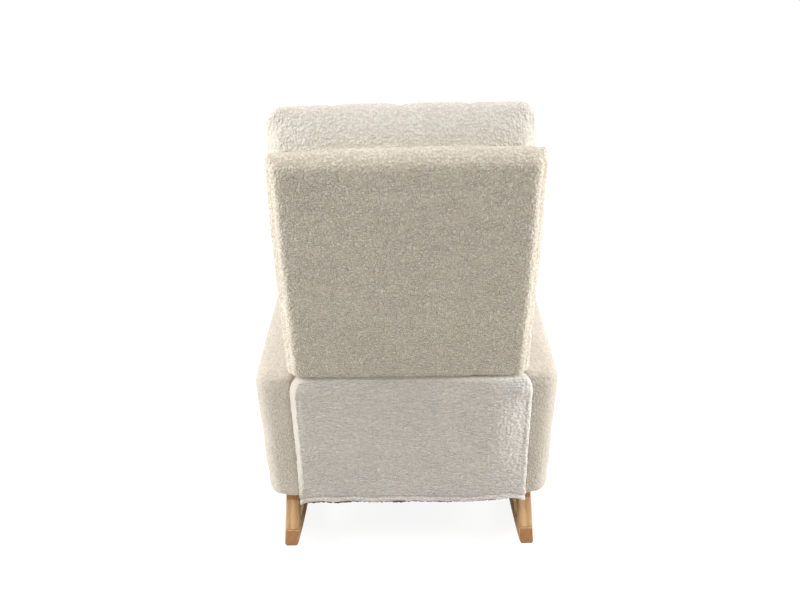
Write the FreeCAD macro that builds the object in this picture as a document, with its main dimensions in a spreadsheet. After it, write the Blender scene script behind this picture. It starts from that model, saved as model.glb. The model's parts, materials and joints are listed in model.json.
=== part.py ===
import FreeCAD, Part
import math
import os
import Sketcher

# Nursing rocking chair with a reclining back.
# The chair faces -Y and stands on the floor at z = 0. The origin lies midway between
# the rockers, on the line where they touch the floor. Left is the sitter's left, +X.

Vector = FreeCAD.Vector
doc = FreeCAD.newDocument("nursing_rocking_chair")

# Driving sizes in millimetres, angles in degrees.
SIZES = [
    ("chair_width", 686, "over both arms"),
    ("arm_thickness", 95, "across one arm"),
    ("arm_length", 610, "front to rear"),
    ("arm_rear", 224, "rear face of the arms behind the origin"),
    ("arm_base", 148, "underside of the arms above the floor"),
    ("arm_height", 347, "rear end of an arm"),
    ("arm_rise", 66, "how much higher the front end is"),
    ("arm_taper", 12, "how far the outer face draws in at the foot"),
    ("arm_crown", 5, "swell of the arm's top"),
    ("arm_top_radius", 28, "long upper edges"),
    ("arm_foot_radius", 38, "outer lower edge"),
    ("arm_hem_radius", 8, "inner lower edge"),
    ("arm_end_depth", 24, "rounded stretch at each end"),
    ("arm_padding", 26, "cover and foam over the edge of the arm board"),
    ("arm_board_thickness", 30, "board inside the arm"),
    ("rocker_radius", 1000, "underside of the rockers"),
    ("rocker_depth", 36, "rocker, across its bend"),
    ("rest_length", 120, "short flat in the middle of a rocker, where the chair rests"),
    ("sled_thickness", 33, "rockers, legs and rails"),
    ("sled_inset", 38, "rockers in from the arms' outer faces"),
    ("rear_overhang", 44, "rear tip behind the arms"),
    ("front_reach", 352, "front tip ahead of the line where the rockers touch the floor"),
    ("leg_rake", 40, "lean of the legs"),
    ("leg_depth", 38, "leg, square to its lean"),
    ("sled_rail_depth", 28, "rail that carries the arm"),
    ("dowel_radius", 5, "wooden dowels in the leg joints"),
    ("sled_bolt_radius", 4, "bolts from the sled into the arm"),
    ("sled_bolt_length", 50, "under the head"),
    ("sled_bolt_spacing", 150, "front to rear"),
    ("bolt_head_radius", 7.5, "all frame bolts"),
    ("bolt_head_height", 6, "all frame bolts"),
    ("seat_rail_thickness", 25, "boards of the seat box"),
    ("seat_rail_lift", 4, "seat box above the arms' underside"),
    ("seat_front_height", 110, "front rail"),
    ("seat_rear_height", 70, "rear rail"),
    ("seat_front_setback", 33, "front rail behind the arms' front ends"),
    ("corner_block_leg", 60, "sides of a corner block"),
    ("corner_block_height", 26, "corner block"),
    ("arm_bolt_radius", 4, "bolts from the seat box into the arm"),
    ("arm_bolt_length", 77, "under the head"),
    ("arm_bolt_height", 40, "above the seat box's underside"),
    ("arm_bolt_spacing", 170, "front to rear"),
    ("strap_width", 50, "elastic webbing"),
    ("strap_thickness", 1.6, "elastic webbing"),
    ("seat_strap_margin", 28, "outer straps to the side rails"),
    ("seat_strap_count", 6, "straps in the seat"),
    ("cover_thickness", 1.6, "dust cover under the seat"),
    ("apron_thickness", 28, "padded front panel"),
    ("apron_radius", 9, "edges of the front panel"),
    ("soft_gap", 4, "seat and back cushion to the arms"),
    ("seat_cushion_height", 138, "at the edge"),
    ("seat_cushion_crown", 16, "swell of its middle"),
    ("seat_cushion_overhang", 43, "ahead of the front rail"),
    ("seat_cushion_tuck", 25, "its rear end under the swell of the back cushion"),
    ("pivot_setback", 33, "hinge pivot ahead of the arms' rear faces"),
    ("pivot_lift", 148, "hinge pivot above the arms' underside"),
    ("back_lean", 8, "lean of the upright back"),
    ("plate_thickness", 4, "steel of the hinges"),
    ("hinge_head_radius", 27, "round end of both hinge plates"),
    ("hinge_foot_radius", 18, "lower end of the seat plate"),
    ("hinge_foot_forward", 70, "lower end ahead of the pivot"),
    ("hinge_foot_drop", 95, "lower end below the pivot"),
    ("hinge_arm_margin", 22, "upper end of the back arm below the outside back"),
    ("hinge_arm_radius", 13, "upper end of the back arm"),
    ("hinge_arm_offset", 6, "upper end behind the frame's middle"),
    ("hinge_gap", 0.3, "between the two plates"),
    ("rivet_radius", 6, "pivot rivet"),
    ("rivet_clearance", 0.05, "back arm around the rivet"),
    ("rivet_head_radius", 11, "pivot rivet"),
    ("rivet_head_height", 3, "pivot rivet"),
    ("housing_radius", 26, "closed ratchet housing"),
    ("housing_depth", 10, "closed ratchet housing"),
    ("housing_edge", 3, "rounded rim of the housing"),
    ("screw_radius", 2.5, "hinge screws"),
    ("screw_length", 20, "hinge screws"),
    ("screw_head_radius", 5, "hinge screws"),
    ("screw_head_height", 2, "hinge screws"),
    ("stile_width", 28, "upright of the back frame"),
    ("stile_depth", 27, "back frame, front to rear"),
    ("stile_start", 36, "lower end above the pivot"),
    ("stile_inset", 26, "upper end below the top of the outside back"),
    ("back_rail_height", 40, "cross rails of the back frame"),
    ("back_rail_start", 60, "lowest rail above the pivot"),
    ("back_strap_count", 5, "straps in the back"),
    ("back_strap_margin", 22, "straps to the top and bottom rail"),
    ("back_strap_lap", 18, "strap over each stile"),
    ("shell_lap", 11, "outside back past the arms' inner faces"),
    ("shell_height", 516, "outside back"),
    ("shell_clearance", 6, "its lower rear edge above the arms"),
    ("shell_wall", 20, "padding behind the frame"),
    ("shell_radius", 17, "its rounded edges"),
    ("back_cushion_start", 45, "lower end above the pivot"),
    ("back_cushion_rise", 72, "upper end above the outside back"),
    ("back_cushion_depth", 118, "front to rear"),
    ("back_cushion_lap", 7, "past the arms' inner faces, above them"),
    ("back_channel_depth", 11, "sewn channels"),
    ("flap_lap", 23.5, "rear flap past the arms' inner faces"),
    ("flap_thickness", 5, "rear flap"),
    ("flap_drop", 6, "below the arms' underside"),
    ("flap_bulge", 21, "how far its top stands out behind the arms"),
    ("flap_shoulder", 46, "how much its top corners draw in"),
    ("flap_gap", 0.3, "to the outside back"),
    ("strip_inset", 38, "touch-and-close strip in from the arms' inner faces"),
    ("strip_height", 25, "touch-and-close strip"),
    ("strip_thickness", 2, "touch-and-close strip"),
]

# Places that follow from the driving sizes.
PLACES = [
    ("arm_outer", "Sizes.chair_width / 2"),
    ("arm_inner", "Places.arm_outer - Sizes.arm_thickness"),
    ("arm_front", "Sizes.arm_rear - Sizes.arm_length"),
    ("arm_top", "Sizes.arm_base + Sizes.arm_height"),
    ("sled_inner", "Places.arm_outer - Sizes.sled_inset - Sizes.sled_thickness"),
    ("sled_middle", "Places.sled_inner + Sizes.sled_thickness / 2"),
    ("sled_rail_base", "Sizes.arm_base - Sizes.sled_rail_depth"),
    ("rear_tip", "Sizes.arm_rear + Sizes.rear_overhang"),
    ("front_tip", "-Sizes.front_reach"),
    ("rocker_centre", "sqrt(Sizes.rocker_radius ^ 2 - (Sizes.rest_length / 2) ^ 2)"),
    ("rear_tip_lift", "Places.rocker_centre - sqrt(Sizes.rocker_radius ^ 2 - Places.rear_tip ^ 2)"),
    ("front_tip_lift", "Places.rocker_centre - sqrt(Sizes.rocker_radius ^ 2 - Places.front_tip ^ 2)"),
    ("rake_slope", "tan(Sizes.leg_rake * 1deg)"),
    ("leg_level_depth", "Sizes.leg_depth / cos(Sizes.leg_rake * 1deg)"),
    ("arm_board_inner", "Places.sled_middle - Sizes.arm_board_thickness / 2"),
    ("seat_base", "Sizes.arm_base + Sizes.seat_rail_lift"),
    ("seat_front", "Places.arm_front + Sizes.seat_front_setback"),
    ("seat_inner", "Places.arm_inner - Sizes.seat_rail_thickness"),
    ("seat_front_top", "Places.seat_base + Sizes.seat_front_height"),
    ("seat_rear_top", "Places.seat_base + Sizes.seat_rear_height"),
    ("slope_front", "Places.seat_front + Sizes.seat_rail_thickness"),
    ("slope_rear", "Sizes.arm_rear - Sizes.seat_rail_thickness"),
    ("pivot", "Sizes.arm_rear - Sizes.pivot_setback"),
    ("pivot_height", "Sizes.arm_base + Sizes.pivot_lift"),
    ("hinge_plate_inner", "Places.seat_inner - Sizes.plate_thickness"),
    ("hinge_arm_outer", "Places.hinge_plate_inner - Sizes.hinge_gap"),
    ("stile_outer", "Places.hinge_arm_outer - Sizes.plate_thickness"),
    ("stile_inner", "Places.stile_outer - Sizes.stile_width"),
    ("frame_front", "-Sizes.stile_depth / 2"),
    ("strap_front", "Places.frame_front - Sizes.strap_thickness"),
    ("shell_rear", "Sizes.stile_depth / 2 + Sizes.shell_wall"),
    (
        "shell_start",
        "(Sizes.arm_height + Sizes.shell_clearance - Sizes.pivot_lift + Places.shell_rear"
        " * sin(Sizes.back_lean * 1deg)) / cos(Sizes.back_lean * 1deg)",
    ),
    ("shell_end", "Places.shell_start + Sizes.shell_height"),
    ("shell_half", "Places.arm_inner + Sizes.shell_lap"),
    ("hinge_arm_length", "Places.shell_start - Sizes.hinge_arm_margin - Sizes.hinge_arm_radius"),
    ("stile_end", "Places.shell_end - Sizes.stile_inset"),
    ("back_middle_start", "(Sizes.back_rail_start + Places.stile_end - Sizes.back_rail_height) / 2"),
    ("back_strap_start", "Sizes.back_rail_start + Sizes.back_rail_height + Sizes.back_strap_margin"),
    (
        "back_strap_spread",
        "Places.stile_end - Sizes.back_rail_height - Sizes.back_strap_margin"
        " - Sizes.strap_width - Places.back_strap_start",
    ),
    ("back_cushion_end", "Places.shell_end + Sizes.back_cushion_rise"),
    ("seat_cushion_front", "Places.seat_front - Sizes.seat_cushion_overhang"),
    (
        "seat_cushion_rear",
        "Places.pivot + Places.strap_front - Sizes.back_cushion_depth + Sizes.seat_cushion_tuck",
    ),
    ("seat_strap_spread", "2 * (Places.seat_inner - Sizes.seat_strap_margin) - Sizes.strap_width"),
]


def fill_sheet(name, rows):
    sheet = doc.addObject("Spreadsheet::Sheet", name)
    for number, row in enumerate(rows, start=1):
        sheet.set(f"A{number}", row[0])
        sheet.set(f"B{number}", str(row[1]))
        sheet.setAlias(f"B{number}", row[0])
        if len(row) > 2:
            sheet.set(f"C{number}", row[2])
    doc.recompute()
    return sheet


sizes = fill_sheet("Sizes", SIZES)
fill_sheet("Places", [(name, "=" + formula) for name, formula in PLACES])


def value(expression):
    result = sizes.evalExpression(str(expression))
    return float(getattr(result, "Value", result))


def size(name):
    return float(sizes.get(name))


def place(name):
    return value(f"Places.{name}")


NEAR = 0.01
NODES = []
SIDES = (("left", 1), ("right", -1))


def node(piece):
    NODES.append(piece)
    return piece


def bind(piece, **expressions):
    for name, expression in expressions.items():
        piece.setExpression(name, str(expression))
    return piece


def put(piece, x=0, y=0, z=0):
    for axis, expression in zip("xyz", (x, y, z)):
        piece.setExpression(f".Placement.Base.{axis}", str(expression))
    return piece


def on_side(sign, inner, thickness):
    """The lower x of a piece that starts at inner on either side of the chair."""
    return f"{inner}" if sign > 0 else f"-({inner}) - ({thickness})"


# The back is drawn upright about its pivot, then leaned with it.
LEAN = "(Sizes.back_lean * 1deg)"


def put_on_back(piece, x=0, behind=0, above=0):
    piece.Placement.Rotation = FreeCAD.Rotation(Vector(1, 0, 0), 0)
    piece.setExpression(".Placement.Rotation.Angle", "-Sizes.back_lean")
    return put(
        piece,
        x,
        f"Places.pivot + ({behind}) * cos{LEAN} + ({above}) * sin{LEAN}",
        f"Places.pivot_height - ({behind}) * sin{LEAN} + ({above}) * cos{LEAN}",
    )


def block(label, length, width, height):
    box = doc.addObject("Part::Box", label)
    return bind(box, Length=length, Width=width, Height=height)


def rod(label, radius, length, direction):
    """A cylinder along direction, before it is put in place."""
    cylinder = doc.addObject("Part::Cylinder", label)
    cylinder.Placement.Rotation = FreeCAD.Rotation(Vector(0, 0, 1), direction)
    return bind(cylinder, Radius=radius, Height=length)


def fused(label, pieces):
    union = doc.addObject("Part::MultiFuse", label)
    union.Shapes = pieces
    return union


def cut(label, base, tool):
    result = doc.addObject("Part::Cut", label)
    result.Base = base
    result.Tool = tool
    return result


def new_sketch(body, role):
    plane = [item for item in body.Origin.OriginFeatures if item.Role == role][0]
    sketch = body.newObject("Sketcher::SketchObject", f"{body.Label}_outline")
    sketch.AttachmentSupport = [(plane, "")]
    sketch.MapMode = "FlatFace"
    return sketch


def constrain(sketch, name, expression, *constraint):
    index = sketch.addConstraint(Sketcher.Constraint(*constraint, value(expression)))
    sketch.renameConstraint(index, name)
    sketch.setExpression(f"Constraints.{name}", str(expression))


START, END, CENTRE = range(1, 4)
ROOT = (-1, 1)


def pin(sketch, name, geometry, point, across, up):
    constrain(sketch, f"{name}_across", across, "DistanceX", *ROOT, geometry, point)
    constrain(sketch, f"{name}_up", up, "DistanceY", *ROOT, geometry, point)


def polygon(sketch, corners):
    points = [Vector(value(across), value(up), 0) for across, up in corners]
    count = len(points)
    first = sketch.GeometryCount
    for number, point in enumerate(points):
        sketch.addGeometry(Part.LineSegment(point, points[(number + 1) % count]), False)
    for number, (across, up) in enumerate(corners):
        following = first + (number + 1) % count
        sketch.addConstraint(Sketcher.Constraint("Coincident", first + number, END, following, START))
        pin(sketch, f"corner{number}", first + number, START, across, up)


def hole(sketch, name, across, up, radius):
    centre = Vector(value(across), value(up), 0)
    circle = sketch.addGeometry(Part.Circle(centre, Vector(0, 0, 1), value(radius)), False)
    pin(sketch, name, circle, CENTRE, across, up)
    constrain(sketch, f"{name}_radius", radius, "Radius", circle)


def arc(centre, radius, start, end):
    return Part.ArcOfCircle(Part.Circle(centre, Vector(0, 0, 1), radius), start, end)


def tapered_link(sketch, big, small):
    """Two round ends joined by their tangents, each given as across, up and radius."""
    (centre_a, radius_a), (centre_b, radius_b) = [
        (Vector(value(across), value(up), 0), value(radius)) for across, up, radius in (big, small)
    ]
    span = centre_b - centre_a
    heading = math.atan2(span.y, span.x)
    swing = math.acos((radius_a - radius_b) / span.Length)

    def rim(centre, radius, angle):
        return centre + Vector(radius * math.cos(angle), radius * math.sin(angle), 0)

    ends = [
        sketch.addGeometry(arc(centre_a, radius_a, heading + swing, heading - swing + 2 * math.pi), False),
        sketch.addGeometry(arc(centre_b, radius_b, heading - swing, heading + swing), False),
    ]
    right = sketch.addGeometry(
        Part.LineSegment(
            rim(centre_a, radius_a, heading - swing),
            rim(centre_b, radius_b, heading - swing),
        ),
        False,
    )
    left = sketch.addGeometry(
        Part.LineSegment(
            rim(centre_b, radius_b, heading + swing),
            rim(centre_a, radius_a, heading + swing),
        ),
        False,
    )
    for first, second in ((ends[0], right), (right, ends[1]), (ends[1], left), (left, ends[0])):
        sketch.addConstraint(Sketcher.Constraint("Tangent", first, END, second, START))
    for name, end, (across, up, radius) in zip(("big", "small"), ends, (big, small)):
        pin(sketch, name, end, CENTRE, across, up)
        constrain(sketch, f"{name}_radius", radius, "Radius", end)


def padded_out(body, sketch, length):
    pad = body.newObject("PartDesign::Pad", f"{body.Label}_pad")
    pad.Profile = sketch
    bind(pad, Length=length)
    sketch.Visibility = False
    return pad


def board(label, corners, thickness):
    """A flat board drawn in the side view, its thickness along +X."""
    body = doc.addObject("PartDesign::Body", label)
    sketch = new_sketch(body, "YZ_Plane")
    polygon(sketch, corners)
    padded_out(body, sketch, thickness)
    return body


# Rockers, legs and rails of the two sleds.
SLED_X = {name: on_side(sign, "Places.sled_inner", "Sizes.sled_thickness") for name, sign in SIDES}


def rocker(side):
    body = doc.addObject("PartDesign::Body", f"rocker_blank_{side}")
    sketch = new_sketch(body, "YZ_Plane")
    outer = size("rocker_radius")
    inner = outer - size("rocker_depth")
    middle = Vector(0, place("rocker_centre"), 0)
    down = -math.pi / 2
    turns = [math.asin(place(tip) / outer) for tip in ("front_tip", "rear_tip")]
    under = sketch.addGeometry(arc(middle, outer, down + turns[0], down + turns[1]), False)
    over = sketch.addGeometry(arc(middle, inner, down + turns[0], down + turns[1]), False)
    ends = {}
    for name, turn in zip(("front", "rear"), turns):
        spoke = Vector(math.sin(turn), -math.cos(turn), 0)
        line = Part.LineSegment(middle + spoke * outer, middle + spoke * inner)
        ends[name] = sketch.addGeometry(line, False)
    for name, point in (("front", START), ("rear", END)):
        sketch.addConstraint(Sketcher.Constraint("Coincident", ends[name], START, under, point))
        sketch.addConstraint(Sketcher.Constraint("Coincident", ends[name], END, over, point))
        constrain(sketch, f"{name}_tip", f"Places.{name}_tip", "DistanceX", *ROOT, under, point)
    sketch.addConstraint(Sketcher.Constraint("Coincident", under, CENTRE, over, CENTRE))
    pin(sketch, "middle", under, CENTRE, 0, "Places.rocker_centre")
    constrain(sketch, "under_radius", "Sizes.rocker_radius", "Radius", under)
    constrain(sketch, "over_radius", "Sizes.rocker_radius - Sizes.rocker_depth", "Radius", over)
    constrain(sketch, "front_rake", "(90 - Sizes.leg_rake) * 1deg", "Angle", ends["front"])
    constrain(sketch, "rear_rake", "(90 + Sizes.leg_rake) * 1deg", "Angle", ends["rear"])
    padded_out(body, sketch, "Sizes.sled_thickness")
    put(body, SLED_X[side])
    floor = block(f"rocker_rest_{side}", "Sizes.sled_thickness", "2 * Sizes.rest_length", "Sizes.rest_length")
    put(floor, SLED_X[side], "-Sizes.rest_length", "-Sizes.rest_length")
    return cut(f"rocker_flat_{side}", body, floor)


def tip_line(end, height):
    """Where the raked end face of the sled passes a height."""
    inward = "-" if end == "rear" else "+"
    return f"Places.{end}_tip {inward} (({height}) - Places.{end}_tip_lift) * Places.rake_slope"


def leg(side, end, rocker_piece):
    """The leg runs into the rocker's depth and is cut to its bend."""
    inward = "-" if end == "rear" else "+"
    foot = f"Places.{end}_tip_lift + Sizes.rocker_depth / 3"
    corners = []
    for height in (foot, "Places.sled_rail_base"):
        face = tip_line(end, height)
        pair = [(face, height), (f"{face} {inward} Places.leg_level_depth", height)]
        corners += pair if height == foot else pair[::-1]
    blank = put(board(f"{end}_leg_blank_{side}", corners, "Sizes.sled_thickness"), SLED_X[side])
    return cut(f"{end}_leg_trimmed_{side}", blank, rocker_piece)


def sled_rail(side):
    base = "Places.sled_rail_base"
    top = "Sizes.arm_base"
    corners = [
        (tip_line("front", base), base),
        (tip_line("rear", base), base),
        (tip_line("rear", top), top),
        (tip_line("front", top), top),
    ]
    return put(board(f"sled_rail_blank_{side}", corners, "Sizes.sled_thickness"), SLED_X[side])


# Length of a dowel as a share of its leg, and where the leg's foot meets the rocker's depth.
DOWEL_SHARE = 0.7
FOOT_SHARE = 0.9


def dowel(side, sign, end, joint):
    """A dowel along the leg, half in the leg and half in the rail or the rocker."""
    foot = f"(Places.{end}_tip_lift + Sizes.rocker_depth * {FOOT_SHARE})"
    length = f"{DOWEL_SHARE} * (Places.sled_rail_base - {foot}) / cos(Sizes.leg_rake * 1deg)"
    inward = "-" if end == "rear" else "+"
    outward = "+" if end == "rear" else "-"
    rake = math.radians(size("leg_rake"))
    lean = -math.sin(rake) if end == "rear" else math.sin(rake)
    piece = rod(
        f"dowel_{end}_{joint}_{side}",
        "Sizes.dowel_radius",
        length,
        Vector(0, lean, math.cos(rake)),
    )
    joint_height = {"top": "Places.sled_rail_base", "foot": foot}[joint]
    half = f"{length} / 2"
    level = f"{tip_line(end, joint_height)} {inward} Places.leg_level_depth / 2"
    return put(
        piece,
        f"{sign} * Places.sled_middle",
        f"{level} {outward} {half} * sin(Sizes.leg_rake * 1deg)",
        f"{joint_height} - {half} * cos(Sizes.leg_rake * 1deg)",
    )


def bolt(label, radius, length, direction, position):
    """A bolt whose head starts at position and whose shank follows direction."""
    head = put(rod(f"{label}_head", "Sizes.bolt_head_radius", "Sizes.bolt_head_height", direction), *position)
    step = [f"{start} + ({way:g}) * Sizes.bolt_head_height" for start, way in zip(position, direction)]
    shank = put(rod(f"{label}_shank", radius, length, direction), *step)
    return fused(label, [head, shank])


def sled(side, sign):
    rocker_blank = rocker(side)
    dowels = [dowel(side, sign, end, joint) for end in ("rear", "front") for joint in ("top", "foot")]
    bolts = []
    for number in (-1, 0, 1):
        position = (
            f"{sign} * Places.sled_middle",
            f"(Places.rear_tip + Places.front_tip) / 2 + {number} * Sizes.sled_bolt_spacing",
            "Places.sled_rail_base",
        )
        bolts.append(
            bolt(
                f"sled_bolt_{side}_{number + 2}",
                "Sizes.sled_bolt_radius",
                "Sizes.sled_bolt_length",
                Vector(0, 0, 1),
                position,
            )
        )
    dowel_set = node(fused(f"leg_dowels_{side}", dowels))
    bolt_set = node(fused(f"sled_bolts_{side}", bolts))
    for end in ("rear", "front"):
        node(cut(f"{end}_leg_{side}", leg(side, end, rocker_blank), dowel_set))
    fixings = fused(f"sled_fixings_{side}", [dowel_set, bolt_set])
    node(cut(f"sled_rail_{side}", sled_rail(side), fixings))
    node(cut(f"rocker_{side}", rocker_blank, dowel_set))
    return bolt_set


# Soft sections are closed wires of lines and short arcs.
def rounded_wire(corners, radii):
    """A closed wire through corners, each rounded by its radius."""
    count = len(corners)
    starts, mids, ends = [], [], []
    for number, (corner, radius) in enumerate(zip(corners, radii)):
        to_last = (corners[number - 1] - corner).normalize()
        to_next = (corners[(number + 1) % count] - corner).normalize()
        half = to_last.getAngle(to_next) / 2
        reach = radius / math.tan(half)
        bisector = (to_last + to_next).normalize()
        starts.append(corner + to_last * reach)
        mids.append(corner + bisector * (radius / math.sin(half) - radius))
        ends.append(corner + to_next * reach)
    edges = []
    for number in range(count):
        edges.append(Part.Arc(starts[number], mids[number], ends[number]).toShape())
        edges.append(Part.LineSegment(ends[number], starts[(number + 1) % count]).toShape())
    return Part.Wire(edges)


def arm_section(sign, along, inset):
    """Cross-section of an arm, drawn in by inset at its rounded ends."""
    share = (size("arm_rear") - along) / size("arm_length")
    top = place("arm_top") + size("arm_rise") * share + size("arm_crown") * math.sin(math.pi * share)
    base = size("arm_base")
    inner = place("arm_inner") + inset / 2
    outer = place("arm_outer") - inset
    foot = outer - size("arm_taper")
    corners = [
        Vector(sign * inner, along, base),
        Vector(sign * foot, along, base),
        Vector(sign * outer, along, top - inset),
        Vector(sign * inner, along, top - inset),
    ]
    radii = [size("arm_hem_radius"), size("arm_foot_radius"), size("arm_top_radius"), size("arm_top_radius")]
    return rounded_wire(corners, radii)


# Steps of a rounded end, as shares of its depth and of the inset there.
END_STEPS = ((0.0, 0.75), (0.12, 0.42), (0.4, 0.14), (1.0, 0.0))


def arm_pad(side, sign, fixings):
    depth = size("arm_end_depth")
    rear = [(size("arm_rear") - depth * step, depth * inset) for step, inset in END_STEPS]
    front = [(place("arm_front") + depth * step, depth * inset) for step, inset in END_STEPS[::-1]]
    form = doc.addObject("Part::Feature", f"arm_form_{side}")
    form.Shape = Part.makeLoft([arm_section(sign, *station) for station in rear + front], True, True)
    return cut(f"arm_pad_{side}", form, fixings)


def arm_board(side, sign):
    rear = "Sizes.arm_rear - Sizes.arm_padding"
    front = "Places.arm_front + Sizes.arm_padding"
    top = "Places.arm_top - Sizes.arm_padding"
    lift = "Sizes.arm_rise * Sizes.arm_padding / Sizes.arm_length"
    corners = [
        (front, "Sizes.arm_base"),
        (rear, "Sizes.arm_base"),
        (rear, f"{top} + {lift}"),
        (front, f"{top} + Sizes.arm_rise - {lift}"),
    ]
    blank = board(f"arm_frame_blank_{side}", corners, "Sizes.arm_board_thickness")
    return put(blank, on_side(sign, "Places.arm_board_inner", "Sizes.arm_board_thickness"))


def arm_bolts(side, sign):
    bolts = []
    for number in (-1, 0, 1):
        position = (
            f"{sign} * (Places.seat_inner - Sizes.bolt_head_height)",
            f"(Places.slope_front + Places.slope_rear) / 2 + ({number} - 0.25) * Sizes.arm_bolt_spacing",
            "Places.seat_base + Sizes.arm_bolt_height",
        )
        bolts.append(
            bolt(
                f"arm_bolt_{side}_{number + 2}",
                "Sizes.arm_bolt_radius",
                "Sizes.arm_bolt_length",
                Vector(sign, 0, 0),
                position,
            )
        )
    return node(fused(f"arm_bolts_{side}", bolts))


def arm(side, sign, sled_bolt_set, bolt_set):
    blank = arm_board(side, sign)
    fixings = fused(f"arm_fixings_{side}", [sled_bolt_set, bolt_set])
    node(cut(f"arm_frame_{side}", blank, fixings))
    node(arm_pad(side, sign, fused(f"arm_inside_{side}", [blank, fixings])))


# Seat box, webbing and cushion.
def seat_side_rail(side, sign, fixings):
    corners = [
        ("Places.seat_front", "Places.seat_base"),
        ("Sizes.arm_rear", "Places.seat_base"),
        ("Sizes.arm_rear", "Places.seat_rear_top"),
        ("Places.slope_rear", "Places.seat_rear_top"),
        ("Places.slope_front", "Places.seat_front_top"),
        ("Places.seat_front", "Places.seat_front_top"),
    ]
    blank = board(f"seat_side_blank_{side}", corners, "Sizes.seat_rail_thickness")
    put(blank, on_side(sign, "Places.seat_inner", "Sizes.seat_rail_thickness"))
    return node(cut(f"seat_side_rail_{side}", blank, fixings))


def seat_cross_rail(label, height, along):
    rail = block(label, "2 * Places.seat_inner", "Sizes.seat_rail_thickness", height)
    return node(put(rail, "-Places.seat_inner", along, "Places.seat_base"))


def corner_block(side, sign, end):
    corner = "Places.slope_rear" if end == "rear" else "Places.slope_front"
    inward = "-" if end == "rear" else "+"
    body = doc.addObject("PartDesign::Body", f"corner_block_{end}_{side}")
    sketch = new_sketch(body, "XY_Plane")
    wall = f"{sign} * Places.seat_inner"
    polygon(
        sketch,
        [
            (wall, corner),
            (wall, f"{corner} {inward} Sizes.corner_block_leg"),
            (f"{sign} * (Places.seat_inner - Sizes.corner_block_leg)", corner),
        ],
    )
    padded_out(body, sketch, "Sizes.corner_block_height")
    return node(put(body, 0, 0, "Places.seat_base"))


def pattern(body, feature, axis_role, spread, count):
    """Repeats a feature evenly over a spread along one of the body's axes."""
    doc.recompute()
    axis = [item for item in body.Origin.OriginFeatures if item.Role == axis_role][0]
    repeat = body.newObject("PartDesign::LinearPattern", f"{body.Label}_pattern")
    repeat.Originals = [feature]
    repeat.Direction = (axis, [""])
    bind(repeat, Length=spread, Occurrences=count)
    body.Tip = repeat
    return repeat


def seat_webbing():
    """Straps that lie on both cross rails and slope down between them."""
    thick = "Sizes.strap_thickness"
    line = [
        ("Places.seat_front", "Places.seat_front_top"),
        ("Places.slope_front", "Places.seat_front_top"),
        ("Places.slope_rear", "Places.seat_rear_top"),
        ("Sizes.arm_rear", "Places.seat_rear_top"),
    ]
    upper = [(along, f"{height} + {thick}") for along, height in line]
    body = doc.addObject("PartDesign::Body", "seat_webbing")
    sketch = new_sketch(body, "YZ_Plane")
    polygon(sketch, line + upper[::-1])
    strap = padded_out(body, sketch, "Sizes.strap_width")
    pattern(body, strap, "X_Axis", "Places.seat_strap_spread", "Sizes.seat_strap_count")
    return node(put(body, "Sizes.seat_strap_margin - Places.seat_inner"))


def cushion_section(half_width, along, height, crown, drawn):
    """Flat under, bulging sides, crowned top; drawn is how far the sides fall in."""
    left_foot = Vector(-half_width + drawn, along, 0)
    right_foot = Vector(half_width - drawn, along, 0)
    shoulder = height - drawn
    right_top = Vector(half_width - drawn, along, shoulder)
    left_top = Vector(-half_width + drawn, along, shoulder)
    middle = shoulder / 2
    return Part.Wire(
        [
            Part.LineSegment(left_foot, right_foot).toShape(),
            Part.Arc(right_foot, Vector(half_width, along, middle), right_top).toShape(),
            Part.Arc(right_top, Vector(0, along, height + crown), left_top).toShape(),
            Part.Arc(left_top, Vector(-half_width, along, middle), left_foot).toShape(),
        ]
    )


# Stations of a cushion: distance from the nearer end in shares of its height,
# its height there and its narrowing, also in shares of the height.
CUSHION_END = ((0.0, 0.62, 0.10), (0.07, 0.84, 0.04), (0.25, 0.97, 0.01), (0.7, 1.0, 0.0))


def seat_cushion():
    height = size("seat_cushion_height")
    crown = size("seat_cushion_crown")
    half_width = place("arm_inner") - size("soft_gap")
    fall = place("seat_front_top") - place("seat_rear_top")
    slope = math.atan2(fall, place("slope_rear") - place("slope_front"))
    length = (place("seat_cushion_rear") - place("seat_cushion_front")) / math.cos(slope)
    stations = [(height * step, height * tall, height * slim) for step, tall, slim in CUSHION_END]
    stations += [(length - along, tall, slim) for along, tall, slim in stations[::-1]]
    wires = [
        cushion_section(half_width - slim, along, tall, crown * tall / height, crown)
        for along, tall, slim in stations
    ]
    ahead = place("slope_front") - place("seat_cushion_front")
    top = place("seat_front_top") + size("strap_thickness")
    cushion = node(doc.addObject("Part::Feature", "seat_cushion"))
    cushion.Shape = Part.makeLoft(wires, True, True)
    cushion.Placement = FreeCAD.Placement(
        Vector(0, place("seat_cushion_front"), top + ahead * math.tan(slope)),
        FreeCAD.Rotation(Vector(1, 0, 0), -math.degrees(slope)),
    )
    return cushion


def front_apron():
    body = node(doc.addObject("PartDesign::Body", "front_apron"))
    sketch = new_sketch(body, "XZ_Plane")
    half = "(Places.arm_inner - Sizes.soft_gap / 2)"
    base = "Places.seat_base - Sizes.cover_thickness"
    top = "Places.seat_front_top"
    polygon(sketch, [(f"-{half}", base), (half, base), (half, top), (f"-{half}", top)])
    pad = padded_out(body, sketch, "Sizes.apron_thickness")
    put(body, 0, "Places.seat_front", 0)
    doc.recompute()
    front = min(vertex.Y for vertex in pad.Shape.Vertexes)
    rim = [
        f"Edge{number}"
        for number, edge in enumerate(pad.Shape.Edges, start=1)
        if all(abs(vertex.Y - front) < NEAR for vertex in edge.Vertexes)
    ]
    fillet = body.newObject("PartDesign::Fillet", "front_apron_edges")
    fillet.Base = (pad, rim)
    bind(fillet, Radius="Sizes.apron_radius")
    return body


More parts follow.
